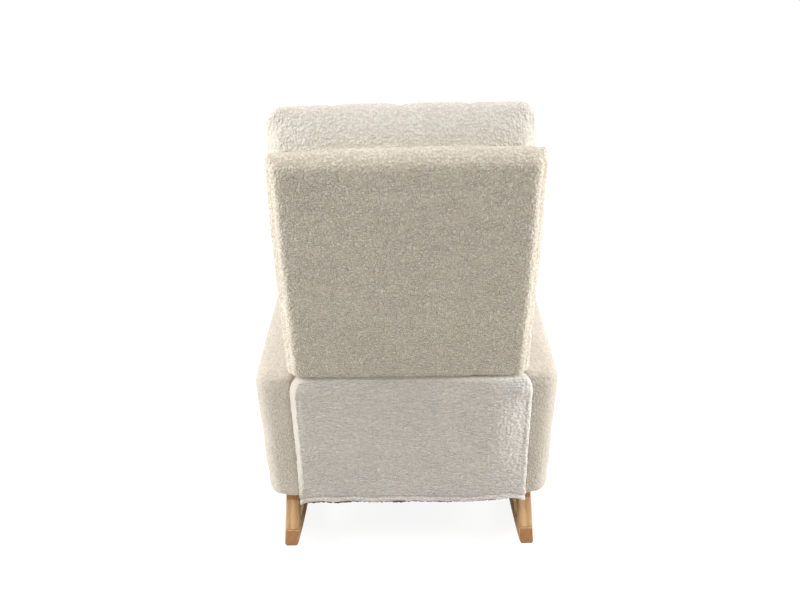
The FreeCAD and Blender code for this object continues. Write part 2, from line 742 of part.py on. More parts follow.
def dust_cover():
    cover = block(
        "dust_cover",
        "2 * Places.arm_inner",
        "Sizes.arm_rear - Places.seat_front",
        "Sizes.cover_thickness",
    )
    under = "Places.seat_base - Sizes.cover_thickness"
    return node(put(cover, "-Places.arm_inner", "Places.seat_front", under))


# Recline hinges between the seat box and the back.
def screw(label, sign, position):
    """A screw that points outwards from the chair's middle, its head at position."""
    direction = Vector(sign, 0, 0)
    head = rod(f"{label}_head", "Sizes.screw_head_radius", "Sizes.screw_head_height", direction)
    shank = rod(f"{label}_shank", "Sizes.screw_radius", "Sizes.screw_length", direction)
    step = f"{position[0]} + ({sign}) * Sizes.screw_head_height"
    return fused(label, [put(head, *position), put(shank, step, *position[1:])])


def hinge_seat_plate(side, sign):
    body = node(doc.addObject("PartDesign::Body", f"hinge_seat_plate_{side}"))
    sketch = new_sketch(body, "YZ_Plane")
    foot = ("Places.pivot - Sizes.hinge_foot_forward", "Places.pivot_height - Sizes.hinge_foot_drop")
    tapered_link(
        sketch,
        ("Places.pivot", "Places.pivot_height", "Sizes.hinge_head_radius"),
        (*foot, "Sizes.hinge_foot_radius"),
    )
    hole(sketch, "bore", "Places.pivot", "Places.pivot_height", "Sizes.rivet_radius")
    for name, share in PLATE_SCREWS:
        hole(sketch, name, *plate_screw_place(share), "Sizes.screw_radius")
    padded_out(body, sketch, "Sizes.plate_thickness")
    return put(body, on_side(sign, "Places.hinge_plate_inner", "Sizes.plate_thickness"))


# Screws of the seat plate, as shares of the way from its pivot to its foot.
PLATE_SCREWS = (("upper_screw", 0.76), ("lower_screw", 1.0))


def plate_screw_place(share):
    return (
        f"Places.pivot - {share} * Sizes.hinge_foot_forward",
        f"Places.pivot_height - {share} * Sizes.hinge_foot_drop",
    )


def plate_screws(side, sign):
    screws = []
    start = f"{sign} * (Places.hinge_plate_inner - Sizes.screw_head_height)"
    for name, share in PLATE_SCREWS:
        screws.append(screw(f"plate_{name}_{side}", sign, (start, *plate_screw_place(share))))
    return node(fused(f"plate_screws_{side}", screws))


def ratchet_housing(side, sign):
    """A closed drum on the outer face of the seat plate, with a rolled rim."""
    body = node(doc.addObject("PartDesign::Body", f"ratchet_housing_{side}"))
    sketch = new_sketch(body, "YZ_Plane")
    hole(sketch, "drum", "Places.pivot", "Places.pivot_height", "Sizes.housing_radius")
    hole(sketch, "bore", "Places.pivot", "Places.pivot_height", "Sizes.rivet_radius")
    drum = padded_out(body, sketch, "Sizes.housing_depth")
    put(body, on_side(sign, "Places.seat_inner", "Sizes.housing_depth"))
    doc.recompute()
    outside = size("housing_depth") if sign > 0 else 0
    rim = [
        f"Edge{number}"
        for number, edge in enumerate(drum.Shape.Edges, start=1)
        if abs(edge.BoundBox.Center.x - outside) < NEAR
        and abs(edge.BoundBox.XLength) < NEAR
        and edge.BoundBox.YLength > size("housing_radius")
    ]
    fillet = body.newObject("PartDesign::Fillet", f"ratchet_housing_rim_{side}")
    fillet.Base = (drum, rim)
    bind(fillet, Radius="Sizes.housing_edge")
    return body


def pivot_rivet(side, sign):
    direction = Vector(sign, 0, 0)
    inner = f"{sign} * (Places.stile_outer - Sizes.hinge_gap)"
    length = "(Places.seat_inner + Sizes.housing_depth - Places.stile_outer + Sizes.hinge_gap)"
    spot = ("Places.pivot", "Places.pivot_height")
    head = ("Sizes.rivet_head_radius", "Sizes.rivet_head_height")
    pieces = [
        put(rod(f"rivet_shank_{side}", "Sizes.rivet_radius", length, direction), inner, *spot),
        put(rod(f"rivet_inner_{side}", *head, Vector(-sign, 0, 0)), inner, *spot),
        put(rod(f"rivet_outer_{side}", *head, direction), f"{inner} + ({sign}) * {length}", *spot),
    ]
    return node(fused(f"pivot_rivet_{side}", pieces))


# Screws of the back arm, by their share of its length.
ARM_SCREWS = (("lower_screw", 0.45), ("middle_screw", 0.7), ("upper_screw", 0.95))


def hinge_arm(side, sign):
    body = node(doc.addObject("PartDesign::Body", f"hinge_arm_{side}"))
    sketch = new_sketch(body, "YZ_Plane")
    tapered_link(
        sketch,
        (0, 0, "Sizes.hinge_head_radius"),
        ("Sizes.hinge_arm_offset", "Places.hinge_arm_length", "Sizes.hinge_arm_radius"),
    )
    hole(sketch, "bore", 0, 0, "Sizes.rivet_radius + Sizes.rivet_clearance")
    for name, share in ARM_SCREWS:
        hole(sketch, name, 0, f"{share} * Places.hinge_arm_length", "Sizes.screw_radius")
    padded_out(body, sketch, "Sizes.plate_thickness")
    return put_on_back(body, on_side(sign, "Places.stile_outer", "Sizes.plate_thickness"))


def hinge_arm_screws(side, sign):
    """Screws that go inwards through the back arm into the stile."""
    direction = Vector(-sign, 0, 0)
    pieces = []
    outer = f"{sign} * Places.hinge_arm_outer"
    for name, share in ARM_SCREWS:
        above = f"{share} * Places.hinge_arm_length"
        shank = rod(f"arm_{name}_shank_{side}", "Sizes.screw_radius", "Sizes.screw_length", direction)
        head = rod(
            f"arm_{name}_head_{side}",
            "Sizes.screw_head_radius",
            "Sizes.screw_head_height",
            -direction,
        )
        along = f"Places.pivot + ({above}) * sin{LEAN}"
        up = f"Places.pivot_height + ({above}) * cos{LEAN}"
        pieces += [put(piece, outer, along, up) for piece in (shank, head)]
    return node(fused(f"hinge_arm_screws_{side}", pieces))


# Back frame, padded outside back and cushion.
def back_stile(side, sign, screws):
    blank = block(
        f"back_stile_blank_{side}",
        "Sizes.stile_width",
        "Sizes.stile_depth",
        "Places.stile_end - Sizes.stile_start",
    )
    inner = on_side(sign, "Places.stile_inner", "Sizes.stile_width")
    put_on_back(blank, inner, "Places.frame_front", "Sizes.stile_start")
    return node(cut(f"back_stile_{side}", blank, screws))


def back_rail(label, above):
    rail = block(label, "2 * Places.stile_inner", "Sizes.stile_depth", "Sizes.back_rail_height")
    return node(put_on_back(rail, "-Places.stile_inner", "Places.frame_front", above))


def back_webbing():
    """Straps across the front of the stiles."""
    body = doc.addObject("PartDesign::Body", "back_webbing")
    sketch = new_sketch(body, "XY_Plane")
    reach = "(Places.stile_inner + Sizes.back_strap_lap)"
    polygon(
        sketch,
        [
            (f"-{reach}", "Places.strap_front"),
            (reach, "Places.strap_front"),
            (reach, "Places.frame_front"),
            (f"-{reach}", "Places.frame_front"),
        ],
    )
    strap = padded_out(body, sketch, "Sizes.strap_width")
    pattern(body, strap, "Z_Axis", "Places.back_strap_spread", "Sizes.back_strap_count")
    return node(put_on_back(body, 0, 0, "Places.back_strap_start"))


def outside_back():
    """Padded tray over the frame, open towards the cushion and below."""
    body = node(doc.addObject("PartDesign::Body", "outside_back"))
    sketch = new_sketch(body, "XY_Plane")
    half = "Places.shell_half"
    front = "Places.strap_front"
    rear = "Places.shell_rear"
    polygon(sketch, [(f"-{half}", front), (half, front), (half, rear), (f"-{half}", rear)])
    pad = padded_out(body, sketch, "Places.shell_end - Places.shell_start")
    doc.recompute()
    face = min(vertex.Y for vertex in pad.Shape.Vertexes)
    rim = [
        f"Edge{number}"
        for number, edge in enumerate(pad.Shape.Edges, start=1)
        if any(abs(vertex.Y - face) > NEAR for vertex in edge.Vertexes)
    ]
    fillet = body.newObject("PartDesign::Fillet", "outside_back_edges")
    fillet.Base = (pad, rim)
    bind(fillet, Radius="Sizes.shell_radius")
    doc.recompute()
    well = body.newObject("Sketcher::SketchObject", "outside_back_well")
    well.AttachmentSupport = sketch.AttachmentSupport
    well.MapMode = "FlatFace"
    side = "Places.stile_outer"
    deep = "Sizes.stile_depth / 2"
    polygon(well, [(f"-{side}", front), (side, front), (side, deep), (f"-{side}", deep)])
    pocket = body.newObject("PartDesign::Pocket", "outside_back_pocket")
    pocket.Profile = well
    pocket.Reversed = True
    bind(pocket, Length="Places.stile_end - Places.shell_start")
    return put_on_back(body, 0, 0, "Places.shell_start")


# Sewn channels run up the cushion and part its front into lobes.
LOBES = 4


def back_section(above, half_width, depth, rear_inset):
    """Flat behind, bulging sides, a front of lobes parted by channels."""
    rear = place("strap_front") - rear_inset
    drawn = 0.1 * depth
    front = place("strap_front") - depth
    edge = front + 2 * drawn
    groove = front + size("back_channel_depth") * min(1, depth / size("back_cushion_depth"))
    side = half_width - drawn
    ridge = [Vector(side * (1 - 2 * number / LOBES), groove, above) for number in range(LOBES + 1)]
    ridge[0] = Vector(side, edge, above)
    ridge[-1] = Vector(-side, edge, above)
    belly = (rear + edge) / 2
    edges = [
        Part.LineSegment(Vector(-side, rear, above), Vector(side, rear, above)).toShape(),
        Part.Arc(Vector(side, rear, above), Vector(half_width, belly, above), ridge[0]).toShape(),
    ]
    for first, second in zip(ridge, ridge[1:]):
        crest = Vector((first.x + second.x) / 2, front, above)
        edges.append(Part.Arc(first, crest, second).toShape())
    edges.append(Part.Arc(ridge[-1], Vector(-half_width, belly, above), Vector(-side, rear, above)).toShape())
    return Part.Wire(edges)


def back_cushion():
    start = size("back_cushion_start")
    end = place("back_cushion_end")
    depth = size("back_cushion_depth")
    wide = place("arm_inner") + size("back_cushion_lap")
    slim = place("arm_inner") - 2 * size("soft_gap")
    waist = place("shell_start")
    # Height above the pivot, half width, depth and how far the rear draws in.
    stations = [
        (start, slim - 0.14 * depth, 0.55 * depth, 0.10 * depth),
        (start + 0.16 * depth, slim - 0.05 * depth, 0.84 * depth, 0.08 * depth),
        (start + 0.6 * depth, slim, depth, 0),
        (waist - 0.2 * depth, slim, depth, 0),
        (waist + 0.9 * depth, wide, 0.94 * depth, 0),
        (end - 1.7 * depth, wide, 0.98 * depth, 0),
        (end - 0.45 * depth, wide, 0.97 * depth, 0),
        (end - 0.2 * depth, wide - 0.05 * depth, 0.86 * depth, 0.03 * depth),
        (end - 0.05 * depth, wide - 0.17 * depth, 0.68 * depth, 0.14 * depth),
        (end, wide - 0.28 * depth, 0.5 * depth, 0.26 * depth),
    ]
    cushion = node(doc.addObject("Part::Feature", "back_cushion"))
    cushion.Shape = Part.makeLoft([back_section(*station) for station in stations], True, True)
    return put_on_back(cushion)


# Rear flap: hangs from the outside back to the rear rail.
def flap_section(height, half_width, inner):
    outer = inner + size("flap_thickness")
    swell = size("flap_thickness") * 0.6
    left_in, right_in = [Vector(sign * half_width, inner, height) for sign in (-1, 1)]
    left_out, right_out = [Vector(sign * half_width, outer, height) for sign in (-1, 1)]
    return Part.Wire(
        [
            Part.LineSegment(left_in, right_in).toShape(),
            Part.LineSegment(right_in, right_out).toShape(),
            Part.Arc(right_out, Vector(0, outer + swell, height), left_out).toShape(),
            Part.LineSegment(left_out, left_in).toShape(),
        ]
    )


def rear_flap():
    half = place("arm_inner") + size("flap_lap")
    base = size("arm_base") - size("flap_drop")
    lean = math.radians(size("back_lean"))
    hem = place("pivot_height") + place("shell_start") * math.cos(lean) - place("shell_rear") * math.sin(lean)
    top = hem - size("flap_gap")
    rest = size("arm_rear") + size("strip_thickness")
    strip_top = place("seat_base") + size("strip_height")
    shoulder = size("flap_shoulder")
    bulge = size("flap_bulge")
    # Height, half width and inner face.
    stations = [
        (base, half, rest),
        (strip_top, half, rest),
        (strip_top + (top - strip_top) * 0.35, half, rest + 0.4 * bulge),
        (strip_top + (top - strip_top) * 0.65, half, rest + 0.8 * bulge),
        (top - 1.2 * shoulder, half, rest + bulge),
        (top - 0.5 * shoulder, half - 0.25 * shoulder, rest + 0.95 * bulge),
        (top, half - shoulder, rest + 0.75 * bulge),
    ]
    flap = node(doc.addObject("Part::Feature", "rear_flap"))
    flap.Shape = Part.makeLoft([flap_section(*station) for station in stations], True, True)
    return flap


def flap_strip():
    half = "(Places.arm_inner - Sizes.strip_inset)"
    strip = block("flap_strip", f"2 * {half}", "Sizes.strip_thickness", "Sizes.strip_height")
    return node(put(strip, f"-{half}", "Sizes.arm_rear", "Places.seat_base"))


def build():
    for side, sign in SIDES:
        sled_bolt_set = sled(side, sign)
        arm_bolt_set = arm_bolts(side, sign)
        arm(side, sign, sled_bolt_set, arm_bolt_set)
        screws = plate_screws(side, sign)
        seat_side_rail(side, sign, fused(f"seat_side_fixings_{side}", [arm_bolt_set, screws]))
        for end in ("front", "rear"):
            corner_block(side, sign, end)
        hinge_seat_plate(side, sign)
        ratchet_housing(side, sign)
        pivot_rivet(side, sign)
        hinge_arm(side, sign)
        back_stile(side, sign, hinge_arm_screws(side, sign))
    seat_cross_rail("seat_front_rail", "Sizes.seat_front_height", "Places.seat_front")
    seat_cross_rail("seat_rear_rail", "Sizes.seat_rear_height", "Places.slope_rear")
    seat_webbing()
    seat_cushion()
    front_apron()
    dust_cover()
    back_rail("back_bottom_rail", "Sizes.back_rail_start")
    back_rail("back_middle_rail", "Places.back_middle_start")
    back_rail("back_top_rail", "Places.stile_end - Sizes.back_rail_height")
    back_webbing()
    outside_back()
    back_cushion()
    rear_flap()
    flap_strip()
    doc.recompute()


def check():
    for item in doc.Objects:
        if "Invalid" in item.State or "Error" in item.State:
            raise RuntimeError(f"{item.Label} failed: {item.State}")
    for piece in NODES:
        if piece.Shape.isNull() or not piece.Shape.isValid():
            raise RuntimeError(f"{piece.Label} has no valid shape")


def write():
    os.makedirs("parts", exist_ok=True)
    for piece in NODES:
        piece.Shape.exportStep(f"parts/{piece.Label}.step")


build()
check()
write()
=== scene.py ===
import json
import math

import bmesh
import bpy
import numpy as np
from mathutils import Matrix, Vector, noise


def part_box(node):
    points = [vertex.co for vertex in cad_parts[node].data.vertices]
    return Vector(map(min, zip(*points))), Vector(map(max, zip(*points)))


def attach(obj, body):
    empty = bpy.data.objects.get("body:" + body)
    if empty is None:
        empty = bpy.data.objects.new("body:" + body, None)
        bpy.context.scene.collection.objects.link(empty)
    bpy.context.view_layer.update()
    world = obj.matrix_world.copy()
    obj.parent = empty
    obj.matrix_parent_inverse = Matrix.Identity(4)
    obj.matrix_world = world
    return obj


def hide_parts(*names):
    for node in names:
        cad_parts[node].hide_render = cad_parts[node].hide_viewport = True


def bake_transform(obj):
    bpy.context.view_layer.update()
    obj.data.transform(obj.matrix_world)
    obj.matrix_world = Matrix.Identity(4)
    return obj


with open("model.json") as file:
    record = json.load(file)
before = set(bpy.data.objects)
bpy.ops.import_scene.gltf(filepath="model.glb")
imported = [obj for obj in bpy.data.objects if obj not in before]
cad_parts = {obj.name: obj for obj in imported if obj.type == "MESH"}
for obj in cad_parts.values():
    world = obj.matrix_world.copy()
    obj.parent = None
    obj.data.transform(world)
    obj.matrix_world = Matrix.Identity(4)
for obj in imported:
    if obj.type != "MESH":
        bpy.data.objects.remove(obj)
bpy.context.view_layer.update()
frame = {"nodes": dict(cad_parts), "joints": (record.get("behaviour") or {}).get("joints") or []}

# Nursing rocking chair. It faces -Y, its left is +X, and all sizes are metres.
scene = bpy.context.scene
SIDES = (("left", 1), ("right", -1))

# The back is shaped upright about its hinge, then leaned: x across, y to the rear, z up.
PIVOT = Vector(frame["joints"][0]["pos_m"])
BACK_LEAN = math.radians(8)
LEANED = Matrix.Translation(PIVOT) @ Matrix.Rotation(-BACK_LEAN, 4, "X")

# An arm pad: its box, and how much its top rises to the front.
ARM_INNER = 0.248
ARM_OUTER = 0.349
ARM_FRONT = -0.386
ARM_REAR = 0.224
ARM_BASE = 0.148
ARM_REAR_TOP = 0.495
ARM_RISE = 0.066
ARM_CROWN = 0.004
ARM_DRAWN_IN = 0.012
ARM_REAR_SEAM = 0.472
ARM_PUFF = 0.006
ARM_INNER_PUFF = 0.0015

# Radii of an arm's edges: across, along and at the foot.
ARM_OUTER_RADII = (0.038, 0.034, 0.022)
ARM_INNER_RADII = (0.018, 0.022, 0.009)
ARM_TOP_RADIUS = 0.028

# The outside back and the frame that it covers, in the upright back.
SHELL_HALF = 0.264
SHELL_SHIFT = -0.007
SHELL_START = 0.2117
SHELL_END = 0.7307
SHELL_REAR = 0.0335
FRAME_FRONT = -0.0151
FRAME_REAR = 0.0135
FRAME_HALF = 0.2147
FRAME_END = 0.7017

# Squares of a cover before it is refined, and how often it is then halved.
SQUARE = 0.012
HALVINGS = 2

# Curls of the pile, and how high they stand on most covers.
CURL = 0.006
PILE_HEIGHT = 0.0011
CURLS_PER_METRE = 185

# The filling presses the covers out for this many frames.
PRESSURE = 4.0
PRESSED_FRAMES = 20

# A distance at which a sewn line no longer shows.
FAR = 1


def linear(red, green, blue):
    """A colour seen on a screen, as the shader wants it."""
    shares = [channel / 255 for channel in (red, green, blue)]
    return [s / 12.92 if s < 0.04045 else ((s + 0.055) / 1.055) ** 2.4 for s in shares] + [1.0]


def new_piece(name, bm):
    mesh = bpy.data.meshes.new(name)
    bm.to_mesh(mesh)
    bm.free()
    piece = bpy.data.objects.new(name, mesh)
    scene.collection.objects.link(piece)
    return piece


def read(collection, field, width):
    flat = np.empty(len(collection) * width, np.float32)
    collection.foreach_get(field, flat)
    return flat.reshape(-1, width).astype(float)


def points_of(piece):
    return read(piece.data.vertices, "co", 3)


def normals_of(piece):
    return read(piece.data.vertex_normals, "vector", 3)


def set_points(piece, points):
    piece.data.vertices.foreach_set("co", points.astype(np.float32).ravel())
    piece.data.update()


def set_value(piece, name, values):
    field = piece.data.attributes.get(name) or piece.data.attributes.new(name, "FLOAT", "POINT")
    field.data.foreach_set("value", np.asarray(values, np.float32))


def get_value(piece, name):
    return read(piece.data.attributes[name].data, "value", 1)[:, 0]


def settle(piece):
    """Makes the piece's modifiers part of its mesh."""
    graph = bpy.context.evaluated_depsgraph_get()
    rough = piece.data
    piece.data = bpy.data.meshes.new_from_object(piece.evaluated_get(graph))
    piece.modifiers.clear()
    piece.data.name = piece.name
    bpy.data.meshes.remove(rough)


def finer(piece, rounds):
    halving = piece.modifiers.new("finer", "SUBSURF")
    halving.levels = halving.render_levels = rounds
    settle(piece)


def smooth_shaded(piece):
    for face in piece.data.polygons:
        face.use_smooth = True


def smoothstep(values, start, end):
    share = np.clip((values - start) / (end - start), 0, 1)
    return share * share * (3 - 2 * share)


def squared_block(low, high, square):
    """A block between two corners whose faces are cut into squares."""
    bm = bmesh.new()
    bmesh.ops.create_cube(bm, size=1)
    span = Vector(high) - Vector(low)
    bmesh.ops.scale(bm, vec=span, verts=bm.verts)
    bmesh.ops.translate(bm, vec=(Vector(low) + Vector(high)) / 2, verts=bm.verts)
    for axis in range(3):
        along = [
            edge
            for edge in bm.edges
            if abs(edge.verts[0].co[axis] - edge.verts[1].co[axis]) > 0.5 * span[axis]
        ]
        cuts = max(1, round(span[axis] / square) - 1)
        bmesh.ops.subdivide_edges(bm, edges=along, cuts=cuts, use_grid_fill=True)
    return bm


def rounded_off(points, low, high, radius, corner=2, shoulder=2):
    """Rounds the edges of a block's points; radius is one value per axis, or one row per point.

    corner and shoulder are powers of the curve, seen from the rear and from the side or above:
    2 is a round edge, more is a squarer one, less is nearer to a slanted one."""
    radius = np.broadcast_to(np.asarray(radius, float), points.shape)
    core = np.clip(points, np.asarray(low) + radius, np.asarray(high) - radius)
    reach = np.abs(points - core) / radius
    flat = (reach[:, 0] ** corner + reach[:, 2] ** corner) ** (shoulder / corner)
    length = np.maximum((flat + reach[:, 1] ** shoulder) ** (1 / shoulder), 1e-9)
    return core + (points - core) / length[:, None]


def puffed(piece, reach):
    """Lets the filling press the cover out, each point by its reach at most."""
    before = points_of(piece)
    held = piece.vertex_groups.new(name="held")
    held.add([int(i) for i in np.flatnonzero(reach < 1e-5)], 1.0, "REPLACE")
    cloth = piece.modifiers.new("filling", "CLOTH")
    cloth.settings.quality = 5
    cloth.settings.mass = 0.3
    cloth.settings.use_pressure = True
    cloth.settings.uniform_pressure_force = PRESSURE
    cloth.settings.effector_weights.gravity = 0
    cloth.settings.vertex_group_mass = "held"
    cloth.point_cache.frame_end = PRESSED_FRAMES
    for number in range(1, PRESSED_FRAMES + 1):
        scene.frame_set(number)
    graph = bpy.context.evaluated_depsgraph_get()
    swollen = piece.evaluated_get(graph)
    moved = read(swollen.data.vertices, "co", 3) - before
    piece.modifiers.clear()
    piece.vertex_groups.clear()
    scene.frame_set(1)
    length = np.linalg.norm(moved, axis=1)
    share = np.minimum(1, reach / np.maximum(length, 1e-9))
    set_points(piece, before + moved * share[:, None])


def sunk(piece, distance, width, depth, painted_seam_shade=0.45):
    """A sewn line: presses the cover in near it, and paints shade into its colour there."""
    press = np.exp(-((distance / width) ** 2))
    set_points(piece, points_of(piece) - normals_of(piece) * (depth * press)[:, None])
    shade = get_value(piece, "shade") if "shade" in piece.data.attributes else np.ones(len(press))
    set_value(piece, "shade", shade * (1 - painted_seam_shade * press))


def raise_pile(piece, height):
    """Curls of the pile in the surface itself; their depth is kept to paint shade between the curls."""
    before = points_of(piece)
    normals = normals_of(piece)
    curls = bpy.data.textures.new("curls", "VORONOI")
    curls.noise_scale = CURL
    lumps = piece.modifiers.new("lumps", "DISPLACE")
    lumps.texture = curls
    lumps.texture_coords = "LOCAL"
    lumps.strength = -height * 1.6
    lumps.mid_level = 0.35
    clumps = bpy.data.textures.new("clumps", "CLOUDS")
    clumps.noise_scale = 4 * CURL
    tufts = piece.modifiers.new("tufts", "DISPLACE")
    tufts.texture = clumps
    tufts.texture_coords = "LOCAL"
    tufts.strength = height
    settle(piece)
    risen = ((points_of(piece) - before) * normals).sum(axis=1)
    set_value(piece, "pile", np.clip(0.5 + risen / (2 * height), 0, 1))


def covered(piece, body, node, fabric, height=PILE_HEIGHT):
    """Finishes a padded piece in teddy fabric that stands for its solid."""
    raise_pile(piece, height)
    smooth_shaded(piece)
    if "shade" not in piece.data.attributes:
        set_value(piece, "shade", np.ones(len(piece.data.vertices)))
    piece.data.materials.clear()
    piece.data.materials.append(fabric)
    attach(piece, body)
    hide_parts(node)


def add(tree, kind, links=None, **settings):
    """A shader node with its settings, and its inputs linked or set."""
    made = tree.nodes.new(kind)
    for name, value in settings.items():
        setattr(made, name, value)
    for socket, source in (links or {}).items():
        if isinstance(source, bpy.types.NodeSocket):
            tree.links.new(source, made.inputs[socket])
        else:
            made.inputs[socket].default_value = source
    return made


def node_group(name, inputs, outputs):
    group = bpy.data.node_groups.new(name, "ShaderNodeTree")
    for direction, sockets in (("INPUT", inputs), ("OUTPUT", outputs)):
        for label, kind in sockets:
            group.interface.new_socket(label, in_out=direction, socket_type=f"NodeSocket{kind}")
    return group, group.nodes.new("NodeGroupInput").outputs, group.nodes.new("NodeGroupOutput").inputs


def curly_pile_group():
    """Curls of a teddy pile: height for the bump, and how deep between curls a point lies."""
    group, given, out = node_group(
        "curly_pile",
        [("Vector", "Vector"), ("Curls per Metre", "Float")],
        [("Height", "Float"), ("Tips", "Float")],
    )
    scaled = add(
        group,
        "ShaderNodeVectorMath",
        {0: given["Vector"], "Scale": given["Curls per Metre"]},
        operation="SCALE",
    )
    drift = add(group, "ShaderNodeTexNoise", {"Vector": scaled.outputs[0], "Scale": 0.8, "Detail": 2.0})
    centred = add(
        group,
        "ShaderNodeVectorMath",
        {0: drift.outputs["Color"], 1: (0.5, 0.5, 0.5)},
        operation="SUBTRACT",
    )
    bent = add(
        group,
        "ShaderNodeVectorMath",
        {0: centred.outputs[0], 1: (0.9, 0.9, 0.9), 2: scaled.outputs[0]},
        operation="MULTIPLY_ADD",
    )
    curls = add(
        group,
        "ShaderNodeTexVoronoi",
        {"Vector": bent.outputs[0], "Scale": 1.0, "Smoothness": 0.35, "Randomness": 0.8},
        feature="SMOOTH_F1",
    )
    hairs = add(
        group,
        "ShaderNodeTexNoise",
        {"Vector": bent.outputs[0], "Scale": 2.4, "Detail": 3.0, "Roughness": 0.6},
    )
    mound = add(
        group,
        "ShaderNodeMapRange",
        {"Value": curls.outputs["Distance"], "From Min": 0.75, "From Max": 0.1},
        interpolation_type="SMOOTHSTEP",
    )
    height = add(
        group,
        "ShaderNodeMath",
        {0: hairs.outputs[0], 1: 0.2, 2: mound.outputs["Result"]},
        operation="MULTIPLY_ADD",
    )
    tips = add(
        group,
        "ShaderNodeMapRange",
        {"Value": height.outputs[0], "From Min": 0.1, "From Max": 0.9},
        interpolation_type="SMOOTHSTEP",
    )
    group.links.new(height.outputs[0], out["Height"])
    group.links.new(tips.outputs["Result"], out["Tips"])
    return group


def new_material(name):
    material = bpy.data.materials.new(name)
    material.use_nodes = True
    tree = material.node_tree
    return material, tree, tree.nodes["Principled BSDF"]


def teddy_fabric(name, tip, shaded_root, stretch, relief):
    """Cream teddy fabric; a stretch under 1 lengthens its curls along that axis, relief is their height.

    The pile lies flatter where the cover faces up or to a side."""
    material, tree, shader = new_material(name)
    coords = add(tree, "ShaderNodeTexCoord")
    place = coords.outputs["Object"]
    rows = add(tree, "ShaderNodeMapping", {"Vector": place, "Scale": stretch})
    pile = add(tree, "ShaderNodeGroup", {}, node_tree=CURLY_PILE)
    tree.links.new(rows.outputs[0], pile.inputs["Vector"])
    pile.inputs["Curls per Metre"].default_value = CURLS_PER_METRE
    # Painted shade: the colour darkens from the tip colour to the shaded root colour where the pile lies low
    # between the curls, and with the shade attribute, read here as sewn, which paints shade into seams and
    # creases and painted highlights on lit edges and parts.
    risen = add(tree, "ShaderNodeAttribute", attribute_name="pile").outputs["Fac"]
    sewn = add(tree, "ShaderNodeAttribute", attribute_name="shade").outputs["Fac"]
    mixed = add(tree, "ShaderNodeMath", {0: pile.outputs["Tips"], 1: 0.65}, operation="MULTIPLY")
    depth = add(
        tree,
        "ShaderNodeMath",
        {0: risen, 1: 0.5, 2: mixed.outputs[0]},
        operation="MULTIPLY_ADD",
        use_clamp=True,
    )
    lit = add(tree, "ShaderNodeMath", {0: depth.outputs[0], 1: sewn}, operation="MULTIPLY")
    patches = add(tree, "ShaderNodeTexNoise", {"Vector": place, "Scale": 9.0, "Detail": 2.0})
    tone = add(
        tree,
        "ShaderNodeMapRange",
        {"Value": patches.outputs[0], "From Min": 0.3, "From Max": 0.7, "To Min": 0.94, "To Max": 1.0},
    )
    colour = add(tree, "ShaderNodeMix", {0: lit.outputs[0], 6: shaded_root, 7: tip}, data_type="RGBA")
    toned = add(
        tree,
        "ShaderNodeMix",
        {0: 1.0, 6: colour.outputs[2], 7: tone.outputs["Result"]},
        data_type="RGBA",
        blend_type="MULTIPLY",
    )
    tree.links.new(toned.outputs[2], shader.inputs["Base Color"])
    facing = add(tree, "ShaderNodeSeparateXYZ", {0: coords.outputs["Normal"]})
    pressed = add(
        tree,
        "ShaderNodeMapRange",
        {"Value": facing.outputs["Z"], "From Min": 0.0, "From Max": 0.7, "To Min": 1.0, "To Max": 0.3},
    )
    sideways = add(tree, "ShaderNodeMath", {0: facing.outputs["X"]}, operation="ABSOLUTE")
    stroked = add(
        tree,
        "ShaderNodeMapRange",
        {"Value": sideways.outputs[0], "From Min": 0.1, "From Max": 0.6, "To Min": 1.0, "To Max": 0.2},
    )
    strength = add(
        tree,
        "ShaderNodeMath",
        {0: pressed.outputs["Result"], 1: stroked.outputs["Result"]},
        operation="MULTIPLY",
    )
    bump = add(
        tree,
        "ShaderNodeBump",
        {"Height": pile.outputs["Height"], "Strength": strength.outputs[0], "Distance": relief},
    )
    tree.links.new(bump.outputs[0], shader.inputs["Normal"])
    shader.inputs["Roughness"].default_value = 0.95
    shader.inputs["Specular IOR Level"].default_value = 0.15
    shader.inputs["Sheen Weight"].default_value = 0.25
    shader.inputs["Sheen Roughness"].default_value = 0.5
    shader.inputs["Sheen Tint"].default_value = linear(250, 244, 232)
    return material


CURLY_PILE = curly_pile_group()
EVEN = (1, 1, 1)
# One teddy fabric in four copies: the copy for the cushions and apron is painted lighter where light from
# above falls, the arm copy is painted darker, and the flap copy is painted lighter for the light from the
# floor; the flap's longer curls and each copy's relief are the fabric's own.
TEDDY = teddy_fabric(
    "teddy_fabric", tip=linear(253, 244, 229), shaded_root=linear(214, 201, 181), stretch=EVEN, relief=0.0048
)
CUSHION_TEDDY_PAINTED_LIGHTER = teddy_fabric(
    "cushion_teddy_painted_lighter", tip=linear(254, 249, 238), shaded_root=linear(228, 219, 204), stretch=EVEN, relief=0.004
)
ARM_TEDDY_PAINTED_DARKER = teddy_fabric(
    "arm_teddy_painted_darker", tip=linear(242, 233, 220), shaded_root=linear(218, 207, 192), stretch=EVEN, relief=0.0016
)
FLAP_TEDDY_PAINTED_LIGHTER = teddy_fabric(
    "flap_teddy_painted_lighter",
    tip=linear(254, 250, 243),
    shaded_root=linear(226, 217, 205),
    stretch=(0.6, 1, 1.1),
    relief=0.0042,
)


def mirrored(piece):
    """Turns a piece of the left side into one of the right side."""
    bm = bmesh.new()
    bm.from_mesh(piece.data)
    bmesh.ops.scale(bm, vec=(-1, 1, 1), verts=bm.verts)
    bmesh.ops.recalc_face_normals(bm, faces=bm.faces)
    bm.to_mesh(piece.data)
    bm.free()


